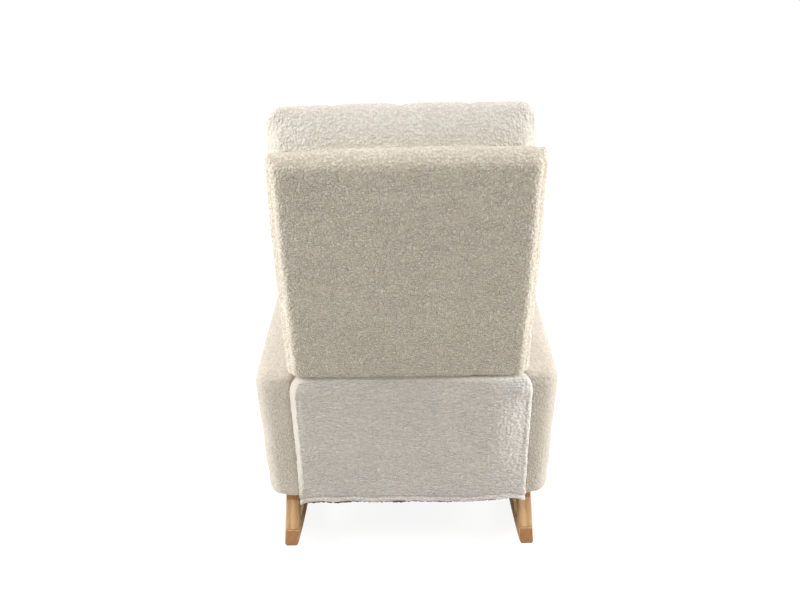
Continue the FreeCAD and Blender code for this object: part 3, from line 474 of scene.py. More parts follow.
def arm_cover(side, sign):
    """A padded slab that rises to the front, with a seam across its rear end."""
    low = np.array((ARM_INNER, ARM_FRONT, ARM_BASE))
    high = np.array((ARM_OUTER, ARM_REAR, ARM_REAR_TOP))
    piece = new_piece(f"arm_cover_{side}", squared_block(low, high, SQUARE))
    flat = points_of(piece)
    outer = flat[:, 0] > (ARM_INNER + ARM_OUTER) / 2
    upper = flat[:, 2] > (ARM_BASE + ARM_REAR_TOP) / 2
    radius = np.where(outer[:, None], ARM_OUTER_RADII, ARM_INNER_RADII)
    radius[upper, 2] = ARM_TOP_RADIUS
    points = rounded_off(flat, low, high, radius)
    share = (ARM_REAR - points[:, 1]) / (ARM_REAR - ARM_FRONT)
    tall = (points[:, 2] - ARM_BASE) / (ARM_REAR_TOP - ARM_BASE)
    points[:, 2] += tall * (ARM_RISE * share + ARM_CROWN * np.sin(math.pi * share))
    across = (points[:, 0] - ARM_INNER) / (ARM_OUTER - ARM_INNER)
    points[:, 0] -= ARM_DRAWN_IN * across * (1 - tall)
    set_points(piece, points)
    beside_seat = across < 0.05
    puffed(piece, np.where(beside_seat, ARM_INNER_PUFF, ARM_PUFF) * smoothstep(tall, 0.0, 0.12))
    finer(piece, HALVINGS)
    points = points_of(piece)
    rear_end = points[:, 1] > ARM_REAR - 0.03
    sunk(piece, np.where(rear_end, points[:, 2] - ARM_REAR_SEAM, FAR), width=0.004, depth=0.0014, painted_seam_shade=0.25)
    if sign < 0:
        mirrored(piece)
    covered(piece, "base", f"arm_pad_{side}", ARM_TEDDY_PAINTED_DARKER, height=0.0006)


# The outside back's soft edges, its crown to the rear and the shape of its head.
PANEL_SQUARE = 0.008
PANEL_VOXEL = 0.005
PANEL_EDGE = 0.034
PANEL_FRONT_EDGE = 0.006
PANEL_FOOT_EDGE = 0.011
PANEL_HEAD_EDGE = 0.025
PANEL_CREST_THINNER = 0.009
PANEL_BELOW_FRAME = 0.003
PANEL_CROWN = 0.006
PANEL_SEAM_REAR = 0.022
HEAD_CROWN = 0.0065
HEAD_TILT = 0.009


def panel_block():
    """The outside back before it is hollowed: a block with soft edges to the rear."""
    low = np.array((-SHELL_HALF, FRAME_FRONT, SHELL_START - PANEL_BELOW_FRAME))
    high = np.array((SHELL_HALF, SHELL_REAR, SHELL_END))
    piece = new_piece("back_panel", squared_block(low, high, PANEL_SQUARE))
    flat = points_of(piece)
    rear = flat[:, 1] > (FRAME_FRONT + SHELL_REAR) / 2
    upper = smoothstep(flat[:, 2], SHELL_START + 0.05, SHELL_START + 0.15)
    crest = smoothstep(flat[:, 2], SHELL_END - 0.09, SHELL_END - 0.04)
    sideways = 0.8 * np.where(rear, PANEL_EDGE, PANEL_FRONT_EDGE)
    deep = np.where(rear, PANEL_EDGE - PANEL_CREST_THINNER * crest, PANEL_FRONT_EDGE)
    rising = PANEL_FOOT_EDGE + (PANEL_HEAD_EDGE - PANEL_FOOT_EDGE) * upper
    radius = np.stack([sideways, deep, np.where(rear, rising, PANEL_FRONT_EDGE)], axis=1)
    set_points(piece, rounded_off(flat, low, high, radius, corner=2.4, shoulder=1.45))
    return piece


def hollowed(piece):
    """Cuts the room for the back frame, and gives the tray even squares."""
    past = 0.02
    low = Vector((-FRAME_HALF, FRAME_FRONT - past, SHELL_START - past))
    high = Vector((FRAME_HALF, FRAME_REAR, FRAME_END))
    well = bmesh.new()
    bmesh.ops.create_cube(well, size=1)
    bmesh.ops.scale(well, vec=high - low, verts=well.verts)
    bmesh.ops.translate(well, vec=(low + high) / 2, verts=well.verts)
    cutter = new_piece("well", well)
    hollow = piece.modifiers.new("hollow", "BOOLEAN")
    hollow.object = cutter
    hollow.solver = "EXACT"
    remesh = piece.modifiers.new("squares", "REMESH")
    remesh.mode = "VOXEL"
    remesh.voxel_size = PANEL_VOXEL
    settle(piece)
    bpy.data.objects.remove(cutter)


def back_panel():
    """The padded outside back: a tray over the back frame, with soft rounded edges."""
    piece = panel_block()
    hollowed(piece)
    points = points_of(piece)
    rear = smoothstep(points[:, 1], FRAME_REAR + 0.006, SHELL_REAR - 0.002)
    middle = (points[:, 2] - (SHELL_START + SHELL_END) / 2) / (SHELL_END - SHELL_START)
    crown = np.clip(1 - (points[:, 0] / SHELL_HALF) ** 2, 0, 1) * np.clip(1 - (2 * middle) ** 2, 0, 1)
    points[:, 1] += PANEL_CROWN * rear * np.sqrt(crown)
    set_points(piece, points)
    softened = piece.modifiers.new("soft", "SMOOTH")
    softened.iterations = 6
    finer(piece, 1)
    points = points_of(piece)
    on_side = np.abs(points[:, 0]) > SHELL_HALF - 0.018
    sunk(piece, np.where(on_side, points[:, 1] - PANEL_SEAM_REAR, FAR), width=0.003, depth=0.0012, painted_seam_shade=0.3)
    # Painted highlight: the sides, which face the side lamps, are painted paler.
    painted_highlight = smoothstep(np.abs(normals_of(piece)[:, 0]), 0.25, 0.8)
    set_value(piece, "shade", get_value(piece, "shade") * (1 + 0.5 * painted_highlight))
    points = points_of(piece)
    below = 1 - (points[:, 2] - SHELL_START) / (SHELL_END - SHELL_START)
    head = smoothstep(-below, -0.12, 0)
    crowned = HEAD_CROWN * (1 - (points[:, 0] / SHELL_HALF) ** 2)
    points[:, 2] += head * (crowned - HEAD_TILT * points[:, 0])
    points[:, 0] *= 1.006 + 0.018 * smoothstep(below, 0, 0.4)
    points[:, 0] += SHELL_SHIFT + 0.003 * below
    set_points(piece, points)
    piece.data.transform(LEANED)
    covered(piece, "backrest", "outside_back", TEDDY)


# The back cushion in the upright back; it is slimmer below, between the arms.
CUSHION_HALF = 0.261
CUSHION_SLIM = 0.240
CUSHION_START = 0.045
CUSHION_TOP = 0.7997
CUSHION_FRONT = -0.1331
CUSHION_REAR_RADIUS = 0.068
CHANNELS = (-0.128, 0.0, 0.128)
LOBE_HALF = 0.064
CHANNEL_DEPTH = 0.014
SLIM_UP_TO = 0.19
WIDE_FROM = 0.31
CUSHION_PUFF = 0.012
CUSHION_TOP_PUFF = 0.004

# Radii of its edges across, in depth and upright, and how much larger they are at its head.
CUSHION_RADII = np.array((0.034, 0.04, 0.044))
HEAD_LARGER = np.array((0.012, 0.01, 0.07))

# Its head bulges over the outside back, less so at the sides, and falls forward above that.
HEAD_BULGE = 0.009
HEAD_SIDE_LESS = 0.014
HEAD_FALL = 0.026
HEAD_FALL_FROM = 0.73
HEAD_FALL_OVER = 0.07


def cushion_block(low, high, flat):
    """The cushion's points: a block with round edges, rounder at its head and slim between the arms."""
    upper = smoothstep(flat[:, 2], 0.5, 0.6)
    larger = np.tile(HEAD_LARGER, (len(flat), 1))
    larger[flat[:, 1] > FRAME_FRONT - CUSHION_REAR_RADIUS, 1] = CUSHION_REAR_RADIUS - CUSHION_RADII[1]
    points = rounded_off(flat, low, high, CUSHION_RADII + larger * upper[:, None], corner=4)
    rear = smoothstep(flat[:, 1], FRAME_FRONT - 0.07, FRAME_FRONT)
    above = smoothstep(points[:, 2], 0.66, HEAD_FALL_FROM)
    sides = smoothstep(np.abs(points[:, 0]), 0.12, 0.27)
    points[:, 1] += rear * above * (HEAD_BULGE - HEAD_SIDE_LESS * sides)
    points[:, 1] -= HEAD_FALL * rear * np.clip((points[:, 2] - HEAD_FALL_FROM) / HEAD_FALL_OVER, 0, 1)
    slim = smoothstep(points[:, 2], SLIM_UP_TO, WIDE_FROM)
    points[:, 0] *= (CUSHION_SLIM + (CUSHION_HALF - CUSHION_SLIM) * slim) / CUSHION_HALF
    return points


def back_cushion():
    """A deep cushion with three channels sewn up its front."""
    low = np.array((-CUSHION_HALF, CUSHION_FRONT, CUSHION_START))
    high = np.array((CUSHION_HALF, FRAME_FRONT, CUSHION_TOP))
    piece = new_piece("back_cushion_cover", squared_block(low, high, SQUARE))
    points = cushion_block(low, high, points_of(piece))
    front = smoothstep(-points[:, 1], -FRAME_FRONT + 0.02, -CUSHION_FRONT)
    top = smoothstep(points[:, 2], CUSHION_TOP - 0.05, CUSHION_TOP)
    away = np.min([np.abs(points[:, 0] - channel) for channel in CHANNELS], axis=0)
    lobe = np.sqrt(np.clip(1 - ((LOBE_HALF - np.minimum(away, LOBE_HALF)) / LOBE_HALF) ** 2, 0, 1))
    points[:, 1] += CHANNEL_DEPTH * front * (1 - lobe)
    points[:, 2] -= 0.0015 * top * (1 - lobe)
    set_points(piece, points)
    on_frame = (points[:, 1] > FRAME_FRONT - 0.004) & (points[:, 2] < SHELL_END)
    sewn = (away < 0.004) & (front > 0.3)
    beside_arms = np.abs(points[:, 0]) > CUSHION_SLIM - 0.01
    reach = np.where(on_frame | sewn, 0, CUSHION_PUFF - (CUSHION_PUFF - CUSHION_TOP_PUFF) * top)
    puffed(piece, np.where(beside_arms, np.minimum(reach, CUSHION_TOP_PUFF), reach))
    set_value(piece, "away", away)
    set_value(piece, "front", front)
    finer(piece, HALVINGS)
    distance = np.where(get_value(piece, "front") > 0.35, get_value(piece, "away"), FAR)
    sunk(piece, distance, width=0.004, depth=0.003)
    points = points_of(piece)
    more_on_left = np.where(points[:, 0] > 0, 0.004, 0.001)
    points[:, 0] += smoothstep(points[:, 2], 0.3, CUSHION_TOP) * more_on_left
    more_on_left = np.where(points[:, 0] > 0, 0.004, 0.001)
    drop = 0.005 + more_on_left * smoothstep(np.abs(points[:, 0]), 0.11, 0.25)
    points[:, 2] -= drop * smoothstep(points[:, 2], 0.6, CUSHION_TOP)
    set_points(piece, points)
    piece.data.transform(LEANED)
    covered(piece, "backrest", "back_cushion", CUSHION_TEDDY_PAINTED_LIGHTER)


# The seat cushion, drawn level from its front edge and then tilted into the seat.
SEAT_FRONT = (0, -0.396, 0.2688)
SEAT_SLOPE = math.atan2(0.040, 0.527)
SEAT_HALF = 0.243
SEAT_LENGTH = 0.480
SEAT_HEIGHT = 0.124
SEAT_RADII = (0.03, 0.034, 0.034)
SEAT_CROWN = 0.026
SEAT_SEAM = 0.022


def seat_cushion():
    """A crowned box cushion, with a seam round its upper and lower edge."""
    low = np.array((-SEAT_HALF, 0, 0))
    high = np.array((SEAT_HALF, SEAT_LENGTH, SEAT_HEIGHT))
    piece = new_piece("seat_cushion_cover", squared_block(low, high, SQUARE))
    flat = points_of(piece)
    points = rounded_off(flat, low, high, SEAT_RADII)
    across = points[:, 0] / SEAT_HALF
    along = 2 * points[:, 1] / SEAT_LENGTH - 1
    tall = points[:, 2] / SEAT_HEIGHT
    inner_across = np.clip(1 - across**2, 0, 1)
    inner_along = np.clip(1 - along**2, 0, 1)
    points[:, 2] += SEAT_CROWN * inner_across * np.sqrt(inner_along) * smoothstep(tall, 0.4, 1)
    belly = np.sin(math.pi * np.clip(tall, 0, 1))
    points[:, 0] -= across * 0.004 * inner_along * (1 - belly)
    points[:, 1] -= np.where(along < 0, 0.006, 0) * belly * inner_across * smoothstep(-along, 0.8, 1)
    set_points(piece, points)
    beside_arms = np.abs(across) > 0.95
    puffed(piece, np.where(tall < 0.03, 0, np.where(beside_arms, 0.002, 0.005)))
    from_edge = np.where(flat[:, 2] > 0.5 * SEAT_HEIGHT, SEAT_HEIGHT - flat[:, 2], flat[:, 2])
    set_value(piece, "from_edge", from_edge)
    from_ends = np.minimum(flat[:, 1], SEAT_LENGTH - flat[:, 1])
    set_value(piece, "from_wall", np.minimum(SEAT_HALF - np.abs(flat[:, 0]), from_ends))
    finer(piece, HALVINGS)
    on_wall = get_value(piece, "from_wall") < 0.012
    seam = np.abs(get_value(piece, "from_edge") - SEAT_SEAM)
    sunk(piece, np.where(on_wall, seam, FAR), width=0.004, depth=0.0022)
    piece.data.transform(Matrix.Translation(SEAT_FRONT) @ Matrix.Rotation(-SEAT_SLOPE, 4, "X"))
    covered(piece, "base", "seat_cushion", CUSHION_TEDDY_PAINTED_LIGHTER)


APRON_RADII = (0.01, 0.012, 0.01)
APRON_CROWN = 0.004


def front_apron():
    """The padded front of the seat box, crowned a little to the front."""
    low, high = (np.array(corner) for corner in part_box("front_apron"))
    piece = new_piece("apron_cover", squared_block(low, high, SQUARE))
    points = rounded_off(points_of(piece), low, high, APRON_RADII)
    across = points[:, 0] / high[0]
    up = 2 * (points[:, 2] - low[2]) / (high[2] - low[2]) - 1
    front = smoothstep(high[1] - points[:, 1], 0.6 * (high[1] - low[1]), high[1] - low[1])
    crown = np.sqrt(np.clip(1 - across**2, 0, 1) * np.clip(1 - up**2, 0, 1))
    points[:, 1] -= APRON_CROWN * front * crown
    set_points(piece, points)
    finer(piece, HALVINGS)
    covered(piece, "base", "front_apron", CUSHION_TEDDY_PAINTED_LIGHTER)


# The rear flap, with the squares of its cloth before they are halved.
FLAP_HALF = 0.2715
FLAP_LOW = 0.142
FLAP_TOP = 0.5045
FLAP_SHIFT = -0.010
FLAP_REAR = 0.2285
FLAP_BULGE = 0.0215
FLAP_TUCK = 0.012
FLAP_THICK = 0.0045
FLAP_ACROSS = 132
FLAP_UP = 90
HEM = 0.014


def foot_rise(across):
    """The flap's foot is higher at its ends, and on the right most."""
    return 0.003 * np.abs(across) ** 3 + 0.009 * smoothstep(-across, 0.45, 0.9)


def rear_flap():
    """The loose cloth flap: it hangs from the back panel over the gap, hemmed at its foot."""
    bm = bmesh.new()
    bmesh.ops.create_grid(bm, x_segments=FLAP_ACROSS, y_segments=FLAP_UP, size=1)
    piece = new_piece("rear_flap_cloth", bm)
    flat = points_of(piece)
    across = flat[:, 0] * (1.5 - 0.5 * flat[:, 0] ** 2)
    up = (flat[:, 1] + 1) / 2

    def waves(scale_across, scale_up, seed):
        return np.array([noise.noise((a * scale_across, u * scale_up, seed)) for a, u in zip(across, up)])

    shoulder = np.sqrt(1 - np.clip((up - 0.85) / 0.15, 0, 1) ** 2)
    half = FLAP_HALF - 0.03 * (1 - shoulder) + 0.002 * np.abs(across) * waves(0, 9, 3.1)
    low = FLAP_LOW + 0.004 * waves(7, 0, 1.7) - 0.011 * np.abs(across) ** 22 + foot_rise(across)
    z = low + (FLAP_TOP - low) * up

    # The middle bulges; the right part and the left edge turn in against the arms.
    bulge = FLAP_BULGE * np.sin(math.pi * np.clip((up - 0.04) / 1.45, 0, 1)) ** 0.8
    against_arm = 0.0005 + 0.0105 * smoothstep(up, 0.7, 1)
    right = np.clip(-across, 0, 1)
    turned = np.clip((right - 0.6) / 0.35, 0, 1) ** 2 + smoothstep(across, 0.94, 1.0)
    bulge += (against_arm - bulge) * turned

    # The edges roll, and the upper corners puff out.
    edge = (1 - np.abs(across)) * FLAP_HALF
    upper = smoothstep(up, 0.15, 0.85)
    roll = 0.008 + 0.004 * upper
    rounded = np.sqrt(np.clip(1 - (np.clip(roll - edge, 0, None) / roll) ** 2, 0, 1))
    rim = rounded * np.exp(-((np.clip(edge - roll, 0, None) / roll) ** 2))
    raised = np.where(across < 0, rounded * smoothstep(right, 0.1, 0.7), 0.5 * rim)
    puff = np.exp(-((edge - 0.022) ** 2 + (FLAP_TOP - 0.032 - z) ** 2) / 0.022**2)
    tucked = FLAP_TUCK * smoothstep(z, FLAP_TOP - 0.007, FLAP_TOP)
    folds = 0.003 * waves(2.2, 3.0, 8.2) * np.sin(math.pi * up)
    flare = 0.003 * np.clip(1 - up / 0.06, 0, 1) ** 2
    y = FLAP_REAR + bulge + (0.005 + 0.004 * upper) * raised + 0.005 * puff + folds + flare - tucked
    set_points(piece, np.stack([across * half + FLAP_SHIFT, y, z], axis=1))
    set_value(piece, "from_foot", z - low)

    # Painted light: the rolled rim, the puffed upper corners, the right part and the foot are painted paler
    # as painted highlight; the upper middle and the outermost left edge are painted darker as painted shade.
    painted_highlight = 0.5 * smoothstep(right, 0.5, 1) + 0.5 * (1 - smoothstep(up, 0.0, 0.35))
    painted_shade = 1 - 0.4 * smoothstep(up, 0.3, 0.9) * (1 - smoothstep(right, 0.6, 0.85))
    painted_shade *= 1 - 0.7 * smoothstep(across, 0.92, 0.96)
    set_value(piece, "shade", painted_shade * (1 + 0.5 * rim * (0.4 + 0.6 * upper) + 0.3 * puff + painted_highlight))

    thick = piece.modifiers.new("cloth", "SOLIDIFY")
    thick.thickness = FLAP_THICK
    thick.offset = 0
    settle(piece)
    finer(piece, 1)
    sunk(piece, get_value(piece, "from_foot") - HEM, width=0.0026, depth=0.0034)
    raise_pile(piece, 0.001)
    smooth_shaded(piece)
    piece.data.materials.append(FLAP_TEDDY_PAINTED_LIGHTER)
    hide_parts("rear_flap")
    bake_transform(piece)


def knitted_backing():
    material, tree, shader = new_material("flap_backing")
    place = add(tree, "ShaderNodeTexCoord").outputs["Object"]
    threads = add(tree, "ShaderNodeTexNoise", {"Vector": place, "Scale": 420.0, "Detail": 3.0})
    colour = add(
        tree,
        "ShaderNodeMix",
        {0: threads.outputs[0], 6: linear(84, 62, 48), 7: linear(150, 124, 102)},
        data_type="RGBA",
    )
    tree.links.new(colour.outputs[2], shader.inputs["Base Color"])
    shader.inputs["Roughness"].default_value = 0.95
    return material


BACKING_SHARE = 0.985
BACKING_REAR = 0.2262
BACKING_TOP = 0.162
BACKING_THICK = 0.0012


def flap_backing():
    """The knitted backing of the flap, which frays out under its hem."""
    bm = bmesh.new()
    bmesh.ops.create_grid(bm, x_segments=300, y_segments=6, size=1)
    piece = new_piece("flap_backing", bm)
    flat = points_of(piece)
    across, up = BACKING_SHARE * flat[:, 0], (flat[:, 1] + 1) / 2
    frayed = np.array([noise.noise((a * 6, 4.4, 0)) + 0.8 * noise.noise((a * 45, 2.1, 0)) for a in across])
    low = FLAP_LOW - 0.0065 - 0.0045 * np.clip(frayed, -0.8, 1) + foot_rise(across)
    x = across * (FLAP_HALF - 0.003) + FLAP_SHIFT
    z = low + (BACKING_TOP - low) * up
    set_points(piece, np.stack([x, np.full_like(z, BACKING_REAR), z], axis=1))
    thick = piece.modifiers.new("knit", "SOLIDIFY")
    thick.thickness = BACKING_THICK
    settle(piece)
    piece.data.materials.append(knitted_backing())
    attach(piece, "base")


CAMERA_PLACE = (-0.0086, 1.669, 1.369)
CAMERA_TURN = (0.757, 25.466, -1.14)
CAMERA_LENS = 33.75
CAMERA_SENSOR = 36


def photo_camera():
    """Behind the chair and above it; its turn is yaw, pitch and roll in degrees."""
    yaw, pitch, roll = (math.radians(angle) for angle in CAMERA_TURN)
    ahead = Vector((math.sin(yaw) * math.cos(pitch), -math.cos(yaw) * math.cos(pitch), -math.sin(pitch)))
    level = Vector((-math.cos(yaw), -math.sin(yaw), 0))
    upright = level.cross(ahead)
    right = math.cos(roll) * level + math.sin(roll) * upright
    up = right.cross(ahead)
    camera = bpy.data.objects.new("camera", bpy.data.cameras.new("camera"))
    scene.collection.objects.link(camera)
    camera.data.sensor_width = CAMERA_SENSOR
    camera.data.lens = CAMERA_LENS
    turn = Matrix((right, up, -ahead)).transposed().to_4x4()
    camera.matrix_world = Matrix.Translation(CAMERA_PLACE) @ turn
    scene.camera = camera


def light(name, position, target, size, energy):
    lamp = bpy.data.lights.new(name, "AREA")
    lamp.shape = "RECTANGLE"
    lamp.size, lamp.size_y = size
    lamp.energy = energy
    holder = bpy.data.objects.new(name, lamp)
    scene.collection.objects.link(holder)
    holder.location = position
    holder.rotation_euler = (Vector(target) - Vector(position)).to_track_quat("-Z", "Y").to_euler()


def seen_by_eye(tree):
    """1 for rays that show a surface: straight, mirrored or through glass."""
    path = add(tree, "ShaderNodeLightPath")
    first = add(
        tree,
        "ShaderNodeMath",
        {0: path.outputs["Is Camera Ray"], 1: path.outputs["Is Glossy Ray"]},
        operation="MAXIMUM",
    )
    through = path.outputs["Is Transmission Ray"]
    return add(tree, "ShaderNodeMath", {0: first.outputs[0], 1: through}, operation="MAXIMUM").outputs[0]


# Name, place, aim, size and power in watts of each lamp.
LAMPS = (
    ("front_overhead", (0, -1.2, 3.0), (0, 0, 0.5), (2.4, 2.0), 21),
    ("rear_overhead", (0, 1.2, 3.3), (0, 0.2, 0.4), (2.6, 1.2), 26),
    ("left_side", (2.7, 0.45, 1.7), (0, 0.15, 0.7), (1.6, 1.5), 66),
    ("right_side", (-2.7, 0.25, 1.6), (0, 0.15, 0.7), (1.6, 1.5), 68),
    ("front", (0, -3.0, 1.8), (0, 0, 0.6), (2.4, 2.0), 16),
    ("rear_fill", (0, 3.6, 2.0), (0, 0.2, 0.6), (1.2, 1.4), 20),
)
FLOOR_HALF = 40
UNDER_CHAIR = (0, -0.15, 0)


def pale_floor():
    """Pale floor with a painted shadow: its colour is darker under the chair, which also darkens the light it
    throws up at the chair. It keeps the shadow, and is near white where it is seen.
    """
    material, tree, shader = new_material("pale_floor")
    shader.inputs["Roughness"].default_value = 0.9
    shader.inputs["Specular IOR Level"].default_value = 0.0
    place = add(tree, "ShaderNodeTexCoord").outputs["Object"]
    under = add(tree, "ShaderNodeVectorMath", {0: place, 1: UNDER_CHAIR}, operation="DISTANCE")
    past_painted_shadow = add(
        tree, "ShaderNodeMapRange", {"Value": under.outputs["Value"], "From Min": 0.25, "From Max": 0.6}
    )
    # Painted shadow: the floor's colour is darker near the chair and pale farther out.
    pale = add(
        tree,
        "ShaderNodeMix",
        {0: past_painted_shadow.outputs["Result"], 6: linear(140, 137, 132), 7: linear(236, 234, 230)},
        data_type="RGBA",
    )
    tree.links.new(pale.outputs[2], shader.inputs["Base Color"])
    away = add(tree, "ShaderNodeVectorMath", {0: place}, operation="LENGTH")
    paler = add(
        tree,
        "ShaderNodeMapRange",
        {"Value": away.outputs["Value"], "From Min": 0.5, "From Max": 2.0, "To Min": 1.5, "To Max": 1.7},
    )
    glow = add(tree, "ShaderNodeEmission", {"Color": (1, 1, 1, 1), "Strength": paler.outputs["Result"]})
    share = add(tree, "ShaderNodeMath", {0: seen_by_eye(tree), 1: 0.6}, operation="MULTIPLY")
    both = add(tree, "ShaderNodeMixShader", {0: share.outputs[0], 1: shader.outputs[0], 2: glow.outputs[0]})
    tree.links.new(both.outputs[0], tree.nodes["Material Output"].inputs["Surface"])
    return material


def white_world():
    """White where it is seen, and only a faint light on the chair."""
    world = bpy.data.worlds.new("studio")
    world.use_nodes = True
    scene.world = world
    tree = world.node_tree
    soft = tree.nodes["Background"]
    soft.inputs["Color"].default_value = (1, 1, 1, 1)
    strength = add(tree, "ShaderNodeMapRange", {"Value": seen_by_eye(tree), "To Min": 0.04, "To Max": 1.0})
    tree.links.new(strength.outputs["Result"], soft.inputs["Strength"])


def studio():
    bm = bmesh.new()
    bmesh.ops.create_grid(bm, x_segments=1, y_segments=1, size=FLOOR_HALF)
    floor = new_piece("floor", bm)
    floor.data.materials.append(pale_floor())
    white_world()
    for lamp in LAMPS:
        light(*lamp)
    scene.view_settings.view_transform = "Standard"


def timber_group():
    """Straight-grained pale wood; the grain runs along Y of the vector."""
    group, given, out = node_group(
        "timber",
        [("Vector", "Vector"), ("Early Wood", "Color"), ("Late Wood", "Color")],
        [("Color", "Color"), ("Height", "Float")],
    )
    long = add(group, "ShaderNodeVectorMath", {0: given["Vector"], 1: (1, 0.05, 1)}, operation="MULTIPLY")
    drift = add(group, "ShaderNodeTexNoise", {"Vector": long.outputs[0], "Scale": 38.0, "Detail": 2.0})
    rings = add(
        group,
        "ShaderNodeTexWave",
        {"Vector": long.outputs[0], "Scale": 34.0, "Distortion": 5.0, "Detail": 2.0, "Detail Scale": 1.5},
        bands_direction="DIAGONAL",
    )
    pores = add(group, "ShaderNodeTexNoise", {"Vector": long.outputs[0], "Scale": 900.0, "Detail": 3.0})
    streaks = add(
        group,
        "ShaderNodeMapRange",
        {"Value": pores.outputs[0], "From Min": 0.52, "From Max": 0.72, "To Min": 0.0, "To Max": 0.55},
    )
    broad = add(group, "ShaderNodeMath", {0: rings.outputs["Fac"], 1: 0.45}, operation="MULTIPLY")
    blended = add(
        group, "ShaderNodeMath", {0: drift.outputs[0], 1: 0.5, 2: broad.outputs[0]}, operation="MULTIPLY_ADD"
    )
    dark = add(
        group,
        "ShaderNodeMath",
        {0: blended.outputs[0], 1: streaks.outputs["Result"]},
        operation="ADD",
        use_clamp=True,
    )
    colour = add(
        group,
        "ShaderNodeMix",
        {0: dark.outputs[0], 6: given["Early Wood"], 7: given["Late Wood"]},
        data_type="RGBA",
    )
    relief = add(group, "ShaderNodeMath", {0: 1.0, 1: dark.outputs[0]}, operation="SUBTRACT")
    group.links.new(colour.outputs[2], out["Color"])
    group.links.new(relief.outputs[0], out["Height"])
    return group


def timber(name, early, late, end, grain):
    """Lacquered wood whose grain runs along a direction; cut ends are darker."""
    material, tree, shader = new_material(name)
    coords = add(tree, "ShaderNodeTexCoord")
    turn = Vector(grain).rotation_difference(Vector((0, 1, 0))).to_euler()
    turned = add(tree, "ShaderNodeMapping", {"Vector": coords.outputs["Object"], "Rotation": turn})
    wood = add(tree, "ShaderNodeGroup", {}, node_tree=TIMBER)
    tree.links.new(turned.outputs[0], wood.inputs["Vector"])
    wood.inputs["Early Wood"].default_value = early
    wood.inputs["Late Wood"].default_value = late
    normal = coords.outputs["Normal"]
    facing = add(tree, "ShaderNodeVectorMath", {0: normal, 1: grain}, operation="DOT_PRODUCT")
    square = add(tree, "ShaderNodeMath", {0: facing.outputs["Value"]}, operation="ABSOLUTE")
    cut = add(
        tree,
        "ShaderNodeMapRange",
        {"Value": square.outputs[0], "From Min": 0.56, "From Max": 0.74, "To Max": 0.85},
    )
    colour = add(
        tree,
        "ShaderNodeMix",
        {0: cut.outputs["Result"], 6: wood.outputs["Color"], 7: end},
        data_type="RGBA",
    )
    tree.links.new(colour.outputs[2], shader.inputs["Base Color"])
    relief = {"Height": wood.outputs["Height"], "Strength": 0.25, "Distance": 0.0004}
    bump = add(tree, "ShaderNodeBump", relief)
    tree.links.new(bump.outputs[0], shader.inputs["Normal"])
    shader.inputs["Roughness"].default_value = 0.65
    shader.inputs["Specular IOR Level"].default_value = 0.08
    return material


TIMBER = timber_group()
RAKE = math.radians(40)
PALE, DARK, CUT = linear(236, 200, 154), linear(188, 143, 96), linear(170, 122, 82)
ALONG = timber("rocker_wood", PALE, DARK, CUT, (0, 1, 0))
REAR_LEG = timber("rear_leg_wood", PALE, DARK, CUT, (0, math.sin(RAKE), -math.cos(RAKE)))
FRONT_LEG = timber("front_leg_wood", PALE, DARK, CUT, (0, -math.sin(RAKE), -math.cos(RAKE)))

FRAME_PALE, FRAME_DARK, FRAME_CUT = linear(224, 194, 150), linear(190, 150, 104), linear(168, 124, 82)
FRAME_ALONG = timber("frame_wood_along", FRAME_PALE, FRAME_DARK, FRAME_CUT, (0, 1, 0))
FRAME_ACROSS = timber("frame_wood_across", FRAME_PALE, FRAME_DARK, FRAME_CUT, (1, 0, 0))
FRAME_UPRIGHT = timber("frame_wood_upright", FRAME_PALE, FRAME_DARK, FRAME_CUT, (0, 0.14, 0.99))


def fine_grained(name, dark, pale, scale, roughness, metallic=0.0, bump=0.0002):
    """A plain finish with a fine mottle: plated steel, tape, lining."""
    material, tree, shader = new_material(name)
    place = add(tree, "ShaderNodeTexCoord").outputs["Object"]
    mottle = add(tree, "ShaderNodeTexNoise", {"Vector": place, "Scale": scale, "Detail": 4.0})
    colour = add(tree, "ShaderNodeMix", {0: mottle.outputs[0], 6: dark, 7: pale}, data_type="RGBA")
    tree.links.new(colour.outputs[2], shader.inputs["Base Color"])
    relief = add(tree, "ShaderNodeBump", {"Height": mottle.outputs[0], "Strength": 0.5, "Distance": bump})
    tree.links.new(relief.outputs[0], shader.inputs["Normal"])
    shader.inputs["Roughness"].default_value = roughness
    shader.inputs["Metallic"].default_value = metallic
    return material


STEEL = fine_grained("zinc_steel", linear(150, 152, 156), linear(196, 198, 200), 260.0, 0.36, 1.0, 0.00005)
TAPE = fine_grained("hook_tape", linear(196, 192, 182), linear(236, 233, 225), 1500.0, 0.8, bump=0.0008)
LINING = fine_grained("black_lining", linear(26, 26, 28), linear(58, 58, 60), 700.0, 0.9, bump=0.0003)


def webbing_material():
    """Elastic webbing: ribs across it, and a soft dark thread in the weave."""
    material, tree, shader = new_material("elastic_webbing")
    place = add(tree, "ShaderNodeTexCoord").outputs["Object"]
    ribs = add(tree, "ShaderNodeTexWave", {"Vector": place, "Scale": 95.0}, bands_direction="DIAGONAL")
    threads = add(tree, "ShaderNodeTexNoise", {"Vector": place, "Scale": 900.0, "Detail": 2.0})
    mixed = add(tree, "ShaderNodeMath", {0: ribs.outputs["Fac"], 1: threads.outputs[0]}, operation="MULTIPLY")
    colour = add(
        tree,
        "ShaderNodeMix",
        {0: mixed.outputs[0], 6: linear(120, 108, 92), 7: linear(214, 204, 184)},
        data_type="RGBA",
    )
    tree.links.new(colour.outputs[2], shader.inputs["Base Color"])
    relief = add(tree, "ShaderNodeBump", {"Height": ribs.outputs["Fac"], "Strength": 0.6, "Distance": 0.0006})
    tree.links.new(relief.outputs[0], shader.inputs["Normal"])
    shader.inputs["Roughness"].default_value = 0.85
    return material


